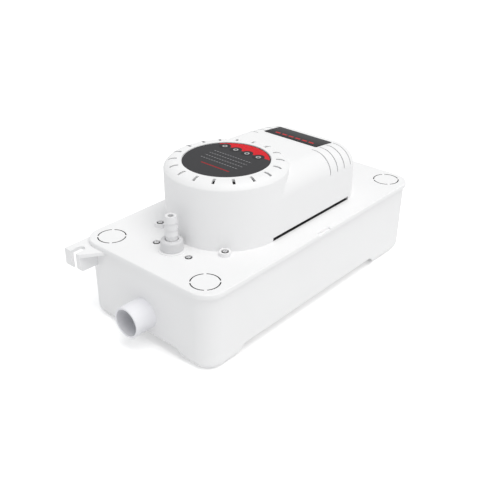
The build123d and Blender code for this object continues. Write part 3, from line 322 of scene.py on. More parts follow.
# hanging ear: a plate with an open slot, on a long rib and a short one
ear_top, ear_thickness = 0.0672, 0.003
ear_reach, ear_root = 0.018, 0.0015
ear_near, ear_far, ear_slant = 0.042, 0.0729, 0.0123
slot_middle, slot_half, slot_depth = 0.062, 0.0033, 0.0083
slot_cut_low, slot_cut_high = 0.05, 0.08
rib_drop = 0.0132
long_rib_length, long_rib_corner = 0.0195, 0.0038
short_rib_length, short_rib_corner = 0.003, 0.0027
ear_tip = half_length + ear_reach
ear_low = ear_top - ear_thickness

select_none()
bpy.ops.mesh.primitive_circle_add(vertices=7, radius=0.02, fill_type="NGON")
ear = bpy.context.object
ear_outline = [
    (half_length - ear_root, ear_near),
    (half_length, ear_near),
    (ear_tip, ear_near + ear_slant),
    (ear_tip, ear_far),
    (half_length - tank_corner / 2, ear_far),
    (half_length - tank_corner / 2, half_width - tank_wall),
    (half_length - ear_root, half_width - tank_corner),
]
for point, (x, y) in zip(ear.data.vertices, ear_outline):
    point.co = (x, y, ear_low)
drag(ear, (0, 0, ear_thickness))
slot = block(
    "ear_slot",
    (ear_tip - slot_depth - slot_half, slot_middle - slot_half, slot_cut_low),
    (ear_tip + 0.01, slot_middle + slot_half, slot_cut_high),
)
pick(slot, "EDGE", lambda a, b: abs(a.z - b.z) > 0.01 and a.x < ear_tip)
bpy.ops.mesh.bevel(offset=slot_half * 0.999, segments=8)
combine(ear, slot)
rib_low = ear_low - rib_drop
long_rib = (ear_near + ear_slant, slot_middle - slot_half, long_rib_length, long_rib_corner)
short_rib = (slot_middle + slot_half, ear_far, short_rib_length, short_rib_corner)
for low_y, high_y, length, corner in (long_rib, short_rib):
    rib = block("ear_rib", (ear_tip - length, low_y, rib_low), (ear_tip, high_y, ear_low + 0.0002))
    pick(rib, "EDGE", lambda a, b: max(a.z, b.z) < rib_low + 0.001 and min(a.x, b.x) > ear_tip - 0.0001)
    bpy.ops.mesh.bevel(offset=corner, segments=6)
    combine(ear, rib, "UNION")
for side in (1, -1):
    combine(tank, copied(ear, flip=(side, 1, 1)), "UNION")
bpy.data.meshes.remove(ear.data)
# hole for the inlet
combine(tank, disc("inlet_hole", (-half_length, 0, inlet_z), inlet_radius, 0.02, turn=(0, pi / 2, 0)))
soften(tank, 0.0005)

# moulded plastic: a fine grain in gloss and relief, and a slow drift of tone
grain = bpy.data.node_groups.new("moulded_plastic_grain", "ShaderNodeTree")
for name, kind, way, value in (
    ("Base", "NodeSocketColor", "INPUT", (0.8, 0.8, 0.8, 1)),
    ("Drift", "NodeSocketFloat", "INPUT", 0.03),
    ("Gloss", "NodeSocketFloat", "INPUT", 0.42),
    ("Scale", "NodeSocketFloat", "INPUT", 2600.0),
    ("Color", "NodeSocketColor", "OUTPUT", None),
    ("Roughness", "NodeSocketFloat", "OUTPUT", None),
    ("Height", "NodeSocketFloat", "OUTPUT", None),
):
    socket = grain.interface.new_socket(name=name, in_out=way, socket_type=kind)
    if value is not None:
        socket.default_value = value
g, gl = grain.nodes, grain.links
g_in, g_out = g.new("NodeGroupInput"), g.new("NodeGroupOutput")
g_place = g.new("ShaderNodeTexCoord")
clouds = g.new("ShaderNodeTexNoise")
clouds.inputs["Scale"].default_value = 14.0
clouds.inputs["Detail"].default_value = 3.0
gl.new(g_place.outputs["Object"], clouds.inputs["Vector"])
spark = g.new("ShaderNodeTexNoise")
spark.inputs["Detail"].default_value = 2.0
gl.new(g_place.outputs["Object"], spark.inputs["Vector"])
gl.new(g_in.outputs["Scale"], spark.inputs["Scale"])
# the tone drifts evenly to both sides of the base colour
lowest = calc(g, gl, "MULTIPLY_ADD", g_in.outputs["Drift"], -0.5, 1.0)
drift = calc(g, gl, "MULTIPLY_ADD", clouds.outputs["Fac"], g_in.outputs["Drift"], lowest)
tint = g.new("ShaderNodeVectorMath")
tint.operation = "SCALE"
gl.new(g_in.outputs["Base"], tint.inputs[0])
gl.new(drift, tint.inputs["Scale"])
gl.new(tint.outputs[0], g_out.inputs["Color"])
rough = calc(g, gl, "MULTIPLY_ADD", spark.outputs["Fac"], 0.10, g_in.outputs["Gloss"])
gl.new(rough, g_out.inputs["Roughness"])
gl.new(spark.outputs["Fac"], g_out.inputs["Height"])


def new_finish(name):
    """A new finish, with its nodes, its links and its main shader."""
    finish = bpy.data.materials.new(name)
    finish.use_nodes = True
    nodes = finish.node_tree.nodes
    return finish, nodes, finish.node_tree.links, nodes["Principled BSDF"]


def plastic(name, colour, drift=0.03, gloss=0.42, scale=2600.0, bump=0.02, specular=0.4):
    """A moulded plastic finish with its grain."""
    finish, nodes, links, shader = new_finish(name)
    shader.inputs["Specular IOR Level"].default_value = specular
    texture = nodes.new("ShaderNodeGroup")
    texture.node_tree = grain
    texture.inputs["Base"].default_value = (*colour, 1)
    texture.inputs["Drift"].default_value = drift
    texture.inputs["Gloss"].default_value = gloss
    texture.inputs["Scale"].default_value = scale
    relief = nodes.new("ShaderNodeBump")
    relief.inputs["Strength"].default_value = bump
    relief.inputs["Distance"].default_value = 0.0002
    links.new(texture.outputs["Color"], shader.inputs["Base Color"])
    links.new(texture.outputs["Roughness"], shader.inputs["Roughness"])
    links.new(texture.outputs["Height"], relief.inputs["Height"])
    links.new(relief.outputs["Normal"], shader.inputs["Normal"])
    return finish


def dress(piece, finish):
    """Gives a piece one finish all over."""
    piece.data.materials.clear()
    piece.data.materials.append(finish)


white_plastic = plastic("white_polypropylene", (0.89, 0.89, 0.895))
dress(tank, white_plastic)
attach(tank, "tank")
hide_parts("tank")

# ---------------------------------------------------------------------------
# Inlet spigot. A thin white drain stub pushed through the end wall from
# inside, with a flange and a rubber seal behind the wall.
# ---------------------------------------------------------------------------
mouth_x, spigot_back_x = -0.15875, -0.13225
spigot_wall = 0.0018
flange_radius, flange_thickness = 0.0148, 0.0025


def revolved(name, outline, centre, steps=64, axis=(0, 0, 1)):
    """Turns a closed outline of (radius, height) points about an axis, as on a lathe."""
    select_none()
    bpy.ops.mesh.primitive_circle_add(vertices=len(outline), radius=1, fill_type="NOTHING")
    piece = bpy.context.object
    piece.name = name
    for point, (radius, height) in zip(piece.data.vertices, outline):
        if axis[2]:
            point.co = (centre[0] + radius, centre[1], height)
        else:
            point.co = (height, centre[1] + radius, centre[2])
    bpy.ops.object.mode_set(mode="EDIT")
    bpy.ops.mesh.select_all(action="SELECT")
    bpy.ops.mesh.spin(steps=steps, angle=2 * pi, center=centre, axis=axis)
    bpy.ops.mesh.select_all(action="SELECT")
    bpy.ops.mesh.remove_doubles(threshold=1e-6)
    bpy.ops.mesh.delete_loose()
    bpy.ops.mesh.select_all(action="SELECT")
    bpy.ops.mesh.normals_make_consistent(inside=False)
    bpy.ops.object.mode_set(mode="OBJECT")
    return piece


bore = inlet_radius - spigot_wall
spigot = revolved(
    "drain_spigot",
    [
        (bore, spigot_back_x),
        (flange_radius, spigot_back_x),
        (flange_radius, spigot_back_x - flange_thickness),
        (inlet_radius, spigot_back_x - flange_thickness),
        (inlet_radius, mouth_x),
        (bore, mouth_x),
    ],
    (0, 0, inlet_z),
    steps=96,
    axis=(1, 0, 0),
)
soften(spigot, 0.0004, steps=3)
spigot_plastic = plastic("spigot_plastic", (0.83, 0.83, 0.86), gloss=0.36)
dress(spigot, spigot_plastic)
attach(spigot, "tank")
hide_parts("inlet_spigot")


def dress_node(name, finish):
    """Puts a finish on a carried-over solid."""
    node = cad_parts[name]
    for place in node.material_slots:
        place.material = finish


rubber = plastic(
    "black_rubber", (0.025, 0.025, 0.027), drift=0.2, gloss=0.6, scale=1500.0, bump=0.1, specular=0.3
)
dress_node("inlet_seal", rubber)

# ---------------------------------------------------------------------------
# Lid. A white moulded plate that snaps over the tank's rim. It carries the
# pump: a raised ring round the check valve, posts for the motor, lugs for the
# float, and a round knock-out in each corner.
# ---------------------------------------------------------------------------
lid_length, lid_width = 0.2825, 0.1454
lid_corner, lid_top, lid_rim_low, lid_under = 0.018, 0.0713, 0.0673, 0.0688
lid_rim_wall, lid_edge = 0.0017, 0.0012
lid_rib_gap, lid_rib_wall, lid_rib_depth, lid_rib_corner = 0.0005, 0.002, 0.0045, 0.0125
drum_x = -0.042
valve_x, valve_screw_y = -0.1062, 0.0183
ring_radius, ring_middle_drop, ring_height = 0.0112, 0.00045, 0.0025
post_x, post_y, post_middle_z = 0.022, 0.025, 0.07815
post_radius, post_height, post_bore, post_bore_length = 0.0045, 0.0157, 0.002, 0.012
boss_radius, boss_height, boss_middle_drop = 0.004, 0.0084, 0.0038
pivot_x, pivot_z = 0.054, 0.060
lug_y, lug_radius, lug_half, pin_bore = 0.0105, 0.0045, 0.0015, 0.0015
pump_bore, pump_screw_circle, valve_bore = 0.0098, 0.024, 0.0073
screw_bore, head_pocket, pocket_depth = 0.0015, 0.0032, 0.0024
tongue_start, tongue_end, tongue_y, tongue_half, tongue_gap = 0.0854, 0.0874, 0.016, 0.005, 0.0003
horn_slot_x, horn_slot_y = 0.007, 0.006
notch_half, notch_depth, notch_reach = 0.00775, 0.0016, 0.0026
# near-black painted shade, for the lid's top under the hood and the hood's inside walls
painted_shade_dark = (0.03, 0.03, 0.032)
knockout_x, knockout_y = 0.1236, 0.0533
knockout_outer, knockout_inner, bridge_half = 0.012, 0.011, 0.0011
# how far the cutters reach below and above the plate, and how deep a weld overlaps
cut_low, cut_high, overlap = 0.06, 0.08, 0.0005

lid = block(
    "lid_plate",
    (-lid_length / 2, -lid_width / 2, lid_rim_low),
    (lid_length / 2, lid_width / 2, lid_top),
)
round_uprights(lid, lid_corner, 16)
pick(lid, "FACE", lambda c, n: n.z < -0.9)
bpy.ops.mesh.inset(thickness=lid_rim_wall)
bpy.ops.mesh.extrude_region_move(TRANSFORM_OT_translate={"value": (0, 0, lid_under - lid_rim_low)})
pick(lid, "EDGE", lambda a, b: a.z > lid_top - 1e-5 and b.z > lid_top - 1e-5)
bpy.ops.mesh.bevel(offset=lid_edge, segments=4)

# locating rib just inside the tank's wall
rib_x, rib_y = half_length - tank_wall - lid_rib_gap, half_width - tank_wall - lid_rib_gap
rib = block("locating_rib", (-rib_x, -rib_y, lid_under - lid_rib_depth), (rib_x, rib_y, lid_under + overlap))
round_uprights(rib, lid_rib_corner, 12)
hollow_x, hollow_y = rib_x - lid_rib_wall, rib_y - lid_rib_wall
hollow = block("rib_hollow", (-hollow_x, -hollow_y, lid_under - 0.01), (hollow_x, hollow_y, lid_under + 0.01))
round_uprights(hollow, lid_rib_corner - lid_rib_wall, 12)
combine(rib, hollow)
combine(lid, rib, "UNION")

# ring round the valve, motor posts, screw bosses and float lugs
ring_middle = (valve_x, 0, lid_top - ring_middle_drop)
ring_wall = disc("valve_ring_wall", ring_middle, ring_radius, ring_height, points=80)
combine(lid, ring_wall, "UNION")
for x in (-post_x, post_x):
    for y in (-post_y, post_y):
        post = disc("motor_post", (drum_x + x, y, post_middle_z), post_radius, post_height, points=32)
        combine(post, disc("post_hole", (drum_x + x, y, 0.084), post_bore, post_bore_length, points=24))
        combine(lid, post, "UNION")
ear_spots = [(-0.084393, -0.037048), (-0.084393, 0.037048)]
screw_spots = ear_spots + [(0.038, 0.017), (0.038, -0.017)]
for x, y in screw_spots:
    boss = disc("screw_boss", (x, y, lid_under - boss_middle_drop), boss_radius, boss_height, points=32)
    combine(lid, boss, "UNION")
across = (pi / 2, 0, 0)
for y in (-lug_y, lug_y):
    lug = disc("float_lug", (pivot_x, y, pivot_z), lug_radius, 2 * lug_half, points=40, turn=across)
    web = block(
        "lug_web",
        (pivot_x - lug_radius, y - lug_half, pivot_z),
        (pivot_x + lug_radius, y + lug_half, lid_under + overlap),
    )
    combine(lug, web, "UNION")
    combine(lug, disc("pin_hole", (pivot_x, y, pivot_z), pin_bore, 0.01, points=24, turn=across))
    combine(lid, lug, "UNION")

# bores and slots through the plate
cuts = [
    disc("pump_bore", (drum_x, 0, lid_top), pump_bore, 0.02, points=64),
    disc("valve_bore", (valve_x, 0, lid_top), valve_bore, 0.02, points=64),
    block(
        "horn_slot",
        (pivot_x - horn_slot_x, -horn_slot_y, cut_low),
        (pivot_x + horn_slot_x, horn_slot_y, cut_high),
    ),
]
slot_half_width = tongue_half + tongue_gap
for y in (-tongue_y, tongue_y):
    slot_near = (tongue_start - tongue_gap, y - slot_half_width, cut_low)
    slot_far = (tongue_end + tongue_gap, y + slot_half_width, cut_high)
    cuts.append(block("tongue_slot", slot_near, slot_far))
for turn in (60, 180, 300):
    x, y = drum_x + pump_screw_circle * cos(radians(turn)), pump_screw_circle * sin(radians(turn))
    cuts.append(disc("pump_screw_hole", (x, y, lid_top), screw_bore, 0.02, points=20))
valve_screw_spots = [(valve_x, -valve_screw_y), (valve_x, valve_screw_y)]
for x, y in screw_spots + valve_screw_spots:
    cuts.append(disc("screw_hole", (x, y, lid_top), screw_bore, 0.03, points=20))
for x, y in valve_screw_spots:
    cuts.append(disc("screw_pocket", (x, y, lid_top), head_pocket, pocket_depth, points=40))
notch_low = (-notch_half, -0.08, lid_top - notch_depth)
cuts.append(block("pry_notch", notch_low, (notch_half, notch_reach - lid_width / 2, cut_high)))
for cutter in cuts:
    combine(lid, cutter)


def over(nodes, links, mask, below, above):
    """Lays a colour over another where the mask is one."""
    node = nodes.new("ShaderNodeMix")
    node.data_type = "RGBA"
    links.new(mask, node.inputs["Factor"])
    for socket, value in (("A", below), ("B", above)):
        place_in = [s for s in node.inputs if s.name == socket and s.type == "RGBA"][0]
        if isinstance(value, tuple):
            place_in.default_value = (*value, 1)
        else:
            links.new(value, place_in)
    return [s for s in node.outputs if s.type == "RGBA"][0]


def band(nodes, links, value, low, high, soft):
    """One between low and high, with soft edges."""
    up = calc(nodes, links, "DIVIDE", calc(nodes, links, "SUBTRACT", value, low), soft, clamp=True)
    down = calc(nodes, links, "DIVIDE", calc(nodes, links, "SUBTRACT", high, value), soft, clamp=True)
    return calc(nodes, links, "MULTIPLY", up, down)


def own_place(nodes, links):
    """The piece's own X, Y and Z at each point of its surface."""
    split = nodes.new("ShaderNodeSeparateXYZ")
    links.new(nodes.new("ShaderNodeTexCoord").outputs["Object"], split.inputs[0])
    return split.outputs


def distance(nodes, links, across, along):
    """The length of a flat offset."""
    squares = [calc(nodes, links, "MULTIPLY", way, way) for way in (across, along)]
    return calc(nodes, links, "SQRT", calc(nodes, links, "ADD", *squares))


def patch(nodes, links, x, x_range, y, y_range, soft_x, soft_y):
    """One inside a rectangle, with soft edges."""
    in_x = band(nodes, links, x, *x_range, soft_x)
    in_y = band(nodes, links, y, *y_range, soft_y)
    return calc(nodes, links, "MULTIPLY", in_x, in_y)


# the plate is white, with a near-black painted shade laid on its top where the motor cover hides it
lid_plastic = white_plastic.copy()
lid_plastic.name = "white_polypropylene_lid_with_painted_shade"
n, ln = lid_plastic.node_tree.nodes, lid_plastic.node_tree.links
here = own_place(n, ln)
from_x, from_y = calc(n, ln, "SUBTRACT", here["X"], drum_x), here["Y"]
away = distance(n, ln, from_x, from_y)
edge = 0.0002
under_drum = band(n, ln, away, -1.0, 0.0490, edge)
under_body = patch(n, ln, from_x, (0, 0.1055), from_y, (-0.0512, 0.0512), edge, edge)
under_rear = patch(n, ln, from_x, (0.1, 0.125), from_y, (-0.030, 0.030), edge, edge)
painted_shade_under_hood = calc(n, ln, "MAXIMUM", calc(n, ln, "MAXIMUM", under_drum, under_body), under_rear)
painted_shade_under_hood = calc(n, ln, "MULTIPLY", painted_shade_under_hood, band(n, ln, here["Z"], lid_top - 0.0004, 1.0, 0.0001))
base_colour = n["Principled BSDF"].inputs["Base Color"]
ln.new(over(n, ln, painted_shade_under_hood, base_colour.links[0].from_socket, painted_shade_dark), base_colour)
dress(lid, lid_plastic)

# knock-outs: rings of slits broken by four bridges, modelled once and copied
spot = (knockout_x, knockout_y, lid_top)
slits = disc("knockout_slits", spot, knockout_outer, 0.008, points=72)
# the slits carry a dark grey painted shade, which the cuts pass on to the walls of the lid's slits
dress(slits, plastic("painted_shade_slit", (0.14, 0.14, 0.142), gloss=0.7, specular=0.1))
combine(slits, disc("knockout_core", spot, knockout_inner, 0.02, points=72))
for turn in (45, 135):
    bar = block("knockout_bridge", (-0.02, -bridge_half, cut_low), (0.02, bridge_half, cut_high))
    combine(slits, copied(bar, turn=radians(turn), move=(knockout_x, knockout_y, 0)))
    bpy.data.meshes.remove(bar.data)
for flip_x, flip_y in ((1, 1), (-1, 1), (1, -1), (-1, -1)):
    combine(lid, copied(slits, flip=(flip_x, flip_y, 1)))
bpy.data.meshes.remove(slits.data)
soften(lid, 0.00025, steps=2, limit=50)
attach(lid, "pump_head")
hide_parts("tank_lid")

# ---------------------------------------------------------------------------
# Motor cover. A white moulded hood: a round drum with cooling slots through
# its shallow crown, and behind it a box whose arched top falls to the rear,
# with slots over its shoulders and a long air gap at each foot.
# ---------------------------------------------------------------------------
drum_radius, drum_top, cover_wall = 0.0515, 0.1292, 0.0022
crown_inner, crown_fall = 0.0425, 0.0053
body_end, body_corner, body_edge = 0.0875, 0.028, 0.018
body_crest, crest_x, arch_radius = 0.0527, -0.003, 0.526
arch_z = lid_top + body_crest - arch_radius
ear_radius, ear_height, ear_web_half = 0.00475, 0.0032, 0.00325
slot_count, slot_width, slot_inner, slot_outer = 18, 0.0023, 0.0404, 0.0475
slot_cut_depth = 0.009
rear_slot_first, rear_slot_pitch, rear_slot_half = 0.0335, 0.0103, 0.0006
rear_slot_near, rear_slot_low = 0.0305, 0.033
foot_gap_start, foot_gap_end, foot_gap_height = -0.0424, 0.0637, 0.003
inside_wall, beyond_wall, above_all = 0.048, 0.056, 0.14
recess_radius, recess_cut = 0.03695, 0.0016
grommet_height, grommet_bore = 0.016, 0.006


def arch_height(x, inset=0.0):
    """Height of the box's arched top at x."""
    return arch_z + ((arch_radius - inset) ** 2 - (x - crest_x) ** 2) ** 0.5


def hood_block(name, inset, low):
    """The cover's solid shape, drawn in all over by inset."""
    radius, end = drum_radius - inset, body_end - inset
    # side view of the box: the arch in short flats, the last one over the round rear corners
    flat_length = 0.0142
    top_line = [drum_x + flat_length * i for i in range(8)] + [end]
    side_view = [(end, low), (drum_x, low)] + [(x, arch_height(x, inset)) for x in top_line]
    select_none()
    bpy.ops.mesh.primitive_circle_add(vertices=len(side_view), radius=1, fill_type="NGON")
    box = bpy.context.object
    for point, (x, z) in zip(box.data.vertices, side_view):
        point.co = (x, -radius, z)
    drag(box, (0, 2 * radius, 0))
    pick(box, "EDGE", lambda a, b: abs(a.z - b.z) > 0.01 and min(a.x, b.x) > 0)
    bpy.ops.mesh.bevel(offset=body_corner - inset, segments=16)
    bpy.ops.object.mode_set(mode="OBJECT")

    def rim(a, b):
        """True for the edges round the top, not for those that cross the arch."""
        crossing = abs(a.y - b.y) > 0.02 and min(a.x, b.x) < end - 0.0001
        return min(a.z, b.z) > lid_top + 0.03 and not crossing

    pick(box, "EDGE", rim)
    bpy.ops.mesh.bevel(offset=body_edge - inset, segments=12)
    bpy.ops.object.mode_set(mode="OBJECT")
    # the drum: wall, crown in one curve, flat top
    crown_top = drum_top - inset
    crown_low = drum_top - crown_fall - inset / 4
    run, fall = radius - crown_inner, crown_top - crown_low
    curve = (run**2 + fall**2) / (2 * fall)
    outline = [(0, low), (radius, low), (radius, crown_low)]
    crown_steps = 11
    for i in range(crown_steps - 1, 0, -1):
        lean = i / crown_steps * asin(run / curve)
        outline.append((crown_inner + curve * sin(lean), crown_top - curve * (1 - cos(lean))))
    outline += [(crown_inner, crown_top), (0, crown_top)]
    drum = revolved("hood_drum", outline, (drum_x, 0, 0), steps=144)
    pick(drum, "EDGE", lambda a, b: max(abs(p.z - crown_low) for p in (a, b)) < 0.00001)
    bpy.ops.mesh.bevel(offset=0.0004, segments=3)
    bpy.ops.object.mode_set(mode="OBJECT")
    combine(drum, box, "UNION")
    drum.name = name
    return drum


cover = hood_block("motor_hood", 0, lid_top)
for x, y in ear_spots:
    toward = atan2(y, x - drum_x)
    boss = disc("ear_boss", (x, y, lid_top + ear_height / 2), ear_radius, ear_height, points=48)
    reach = hypot(x - drum_x, y)
    web_low = (drum_radius - 0.004, -ear_web_half, lid_top)
    web = block("ear_web", web_low, (reach, ear_web_half, lid_top + ear_height))
    combine(boss, copied(web, turn=toward, move=(drum_x, 0, 0)), "UNION")
    bpy.data.meshes.remove(web.data)
    combine(cover, boss, "UNION")
dress(cover, white_plastic)
# the hollow is cut with a near-black finish, so the hood's inside walls carry painted shade
painted_shade_hollow = hood_block("hood_hollow", cover_wall, lid_top - 0.001)
dress(painted_shade_hollow, plastic("painted_shade_inside", painted_shade_dark, gloss=0.6))
combine(cover, painted_shade_hollow)
for y in (-tongue_y, tongue_y):
    foot = (tongue_start, y - tongue_half, lid_under)
    tongue = block("hood_tongue", foot, (tongue_end, y + tongue_half, lid_top + 0.003))
    combine(cover, tongue, "UNION")

# cooling slots, modelled once and cut all round the crown
cutter = block(
    "cooling_slot",
    (slot_inner, -slot_width / 2, drum_top - slot_cut_depth),
    (slot_outer, slot_width / 2, drum_top + 0.01),
)
for i in range(slot_count):
    combine(cover, copied(cutter, turn=2 * pi * (i + 0.5) / slot_count, move=(drum_x, 0, 0)))
bpy.data.meshes.remove(cutter.data)
# slots over the shoulders at the rear, and the long gaps along the foot
for side in (-1, 1):
    near, far = sorted((side * rear_slot_near, side * beyond_wall))
    for i in range(4):
        x = rear_slot_first + rear_slot_pitch * i
        slot_low = (x - rear_slot_half, near, lid_top + rear_slot_low)
        combine(cover, block("rear_slot", slot_low, (x + rear_slot_half, far, above_all)))
    near, far = sorted((side * inside_wall, side * beyond_wall))
    gap_low = (foot_gap_start, near, lid_top - 0.001)
    combine(cover, block("foot_gap", gap_low, (foot_gap_end, far, lid_top + foot_gap_height)))
combine(cover, disc("label_recess", (drum_x, 0, drum_top), recess_radius, recess_cut, points=96))
for x, y in ear_spots:
    combine(cover, disc("ear_hole", (x, y, lid_top), screw_bore, 0.03, points=24))
    pocket = disc("ear_pocket", (x, y, lid_top + ear_height), head_pocket, pocket_depth, points=40)
    combine(cover, pocket)
hole_spot = (body_end, 0, lid_top + grommet_height)
combine(cover, disc("grommet_hole", hole_spot, grommet_bore, 0.012, points=48, turn=(0, pi / 2, 0)))
soften(cover, 0.00025, steps=2, limit=50)
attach(cover, "pump_head")
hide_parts("motor_cover")

# ---------------------------------------------------------------------------
# Labels. A round charcoal label in the recess on the drum, with a red segment,
# plain dots and rows of dashes, and a dark strip on the arched top behind it.
# Both are printed film; the print is a generic pattern.
# ---------------------------------------------------------------------------
label_radius, label_thickness, label_drop = 0.0364, 0.0004, 0.0006
film_edge, red_from = 0.0354, 0.0215
charcoal, red = (0.036, 0.036, 0.039), (0.66, 0.010, 0.018)
dot_dark, dot_pale = (0.02, 0.02, 0.022), (0.55, 0.55, 0.55)
pitch, dots_x, row_offset = 0.0124, 0.0205, 0.0018
dot_radius, ring_inner, ring_outer = 0.0054, 0.0011, 0.0023
line_pitch, dash_pitch, dash_slant, first_line = 0.0055, 0.0029, 0.7, 0.0095

label_middle = (drum_x, 0, drum_top - label_drop)
label = disc("round_label_film", label_middle, label_radius, label_thickness, points=128)
soften(label, 0.0001, steps=1)
label_finish, n, ln, film = new_finish("printed_round_film")
film.inputs["Roughness"].default_value = 0.6
film.inputs["Specular IOR Level"].default_value = 0.15
here = own_place(n, ln)
from_x, from_y = calc(n, ln, "SUBTRACT", here["X"], drum_x), here["Y"]
away = distance(n, ln, from_x, from_y)
inside = band(n, ln, away, -1.0, film_edge, 0.00015)
red_area = calc(n, ln, "MULTIPLY", band(n, ln, from_x, red_from, 1.0, 0.00015), inside)
colour = over(n, ln, red_area, charcoal, red)
# four dark dots stand half in the red, each with a pale ring
row_y = calc(n, ln, "SUBTRACT", from_y, row_offset)
nearest = calc(n, ln, "SNAP", calc(n, ln, "ADD", row_y, 2 * pitch), pitch)
dot_y = calc(n, ln, "SUBTRACT", calc(n, ln, "ADD", row_y, 1.5 * pitch), nearest)
dot_x = calc(n, ln, "SUBTRACT", from_x, dots_x)
dot_away = distance(n, ln, dot_x, dot_y)
in_row = band(n, ln, row_y, -2 * pitch, 2 * pitch, 0.0001)
dark_dot = calc(n, ln, "MULTIPLY", band(n, ln, dot_away, -1.0, dot_radius, 0.0002), in_row)
colour = over(n, ln, dark_dot, colour, dot_dark)
pale_dot = calc(n, ln, "MULTIPLY", band(n, ln, dot_away, ring_inner, ring_outer, 0.0003), in_row)
colour = over(n, ln, pale_dot, colour, dot_pale)
# rows of short pale dashes on the dark part, and one red rule below them
line_step = calc(n, ln, "FLOORED_MODULO", calc(n, ln, "ADD", from_x, first_line), line_pitch)
slanted = calc(n, ln, "MULTIPLY_ADD", from_x, dash_slant, from_y)
dash_step = calc(n, ln, "FLOORED_MODULO", slanted, dash_pitch)
dashes = patch(n, ln, line_step, (0.0001, 0.0010), dash_step, (0.0003, 0.0024), 0.0002, 0.0003)
dash_field = patch(n, ln, from_x, (-first_line, 0.0120), from_y, (-0.021, 0.021), 0.0001, 0.001)
colour = over(n, ln, calc(n, ln, "MULTIPLY", dashes, dash_field), colour, (0.30, 0.30, 0.31))
rule = patch(n, ln, from_x, (-0.0180, -0.0166), from_y, (-0.019, 0.012), 0.0002, 0.0005)
colour = over(n, ln, rule, colour, (0.36, 0.010, 0.014))
ln.new(colour, film.inputs["Base Color"])
dress(label, label_finish)
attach(label, "pump_head")
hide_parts("round_label")

strip_low, strip_high, strip_half = 0.0407, 0.0645, 0.0295
strip_thickness, strip_corner = 0.0003, 0.0012
strip = block("end_strip_film", (strip_low, -strip_half, 0), (strip_high, strip_half, strip_thickness))
round_uprights(strip, strip_corner, 4, shortest=0.0002)
# cross lines, so that the strip can follow the arch
for i in range(1, 8):
    bpy.ops.mesh.select_all(action="SELECT")
    bpy.ops.mesh.bisect(plane_co=(strip_low + 0.003 * i, 0, 0), plane_no=(1, 0, 0))
bpy.ops.object.mode_set(mode="OBJECT")
for point in strip.data.vertices:
    point.co.z += arch_height(point.co.x)
soften(strip, 0)
strip_finish, n, ln, film = new_finish("printed_dark_strip")
film.inputs["Roughness"].default_value = 0.5
film.inputs["Specular IOR Level"].default_value = 0.1
here = own_place(n, ln)
fade = n.new("ShaderNodeMapRange")
fade.inputs["From Min"].default_value = strip_low
fade.inputs["From Max"].default_value = strip_high
ln.new(here["X"], fade.inputs["Value"])
ramp = n.new("ShaderNodeValToRGB")
ramp.color_ramp.elements[0].color = (0.006, 0.006, 0.007, 1)
ramp.color_ramp.elements[1].color = (0.05, 0.05, 0.053, 1)
ln.new(fade.outputs[0], ramp.inputs["Fac"])
# a broken red rule along the strip
dash_step = calc(n, ln, "FLOORED_MODULO", here["Y"], 0.0075)
rule = patch(n, ln, here["X"], (0.0460, 0.0486), dash_step, (0.0004, 0.0060), 0.0002, 0.0004)
rule = calc(n, ln, "MULTIPLY", rule, band(n, ln, here["Y"], -0.022, 0.022, 0.0003))
ln.new(over(n, ln, rule, ramp.outputs["Color"], (0.60, 0.010, 0.016)), film.inputs["Base Color"])
dress(strip, strip_finish)
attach(strip, "pump_head")
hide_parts("end_sticker")

# ---------------------------------------------------------------------------
# Screws. Four zinc-plated pan-head screws with cross recesses: two hold the
# cover's ears, two hold the check valve under the lid. One is made and copied.
# ---------------------------------------------------------------------------
head_radius, head_edge, head_height = 0.0027, 0.0008, 0.0016
shank_radius, shank_end = 0.00148, -0.009
recess_reach, recess_half, recess_floor = 0.0016, 0.0004, 0.0006
shade_rim_radius = 0.0018
shank = [(0, shank_end), (0.0014, shank_end + 0.0008), (shank_radius, 0)]
head = [(head_radius, 0), (head_radius, head_edge), (0.0022, 0.0013), (0.0020, 0.0014), (0.0012, head_height)]
screw = revolved("pan_screw", shank + head + [(0, head_height)], (0, 0, 0), steps=40)
for turn in (0, pi / 2):
    bar_low = (-recess_reach, -recess_half, recess_floor)
    bar = block("recess_bar", bar_low, (recess_reach, recess_half, 2 * head_height))
    combine(screw, copied(bar, turn=turn + 0.5))
    bpy.data.meshes.remove(bar.data)
soften(screw, 0.00008, steps=1)
zinc, n, ln, metal = new_finish("zinc_plate")
metal.inputs["Metallic"].default_value = 0.6
place = n.new("ShaderNodeTexCoord")
scratches = n.new("ShaderNodeTexNoise")
scratches.inputs["Scale"].default_value = 1800.0
ln.new(place.outputs["Object"], scratches.inputs["Vector"])
tone = n.new("ShaderNodeValToRGB")
tone.color_ramp.elements[0].color = (0.68, 0.68, 0.69, 1)
tone.color_ramp.elements[1].color = (0.90, 0.90, 0.91, 1)
ln.new(scratches.outputs["Fac"], tone.inputs["Fac"])
ln.new(tone.outputs["Color"], metal.inputs["Base Color"])
wear = n.new("ShaderNodeMapRange")
wear.inputs["To Min"].default_value = 0.22
wear.inputs["To Max"].default_value = 0.42
ln.new(scratches.outputs["Fac"], wear.inputs["Value"])
ln.new(wear.outputs[0], metal.inputs["Roughness"])
# the outer part of each head is near-black painted shade, standing in for the shade in the pocket round the
# head; the middle stays zinc
shade_rim_finish = plastic("painted_shade_rim", (0.02, 0.02, 0.021), gloss=0.5, specular=0.3)
dress(screw, zinc)
screw.data.materials.append(shade_rim_finish)
for face in screw.data.polygons:
    face.material_index = 1 if hypot(face.center.x, face.center.y) > shade_rim_radius else 0
sunk = lid_top - pocket_depth / 2
for name, node, places in (
    ("cover_screw_pair", "cover_screws", [(x, y, sunk + ear_height) for x, y in ear_spots]),
    ("valve_screw_pair", "valve_screws", [(x, y, sunk) for x, y in valve_screw_spots]),
):
    pair = joined([copied(screw, turn=i * 0.6, move=spot) for i, spot in enumerate(places)], name)
    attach(pair, "pump_head")
    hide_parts(node)
bpy.data.meshes.remove(screw.data)

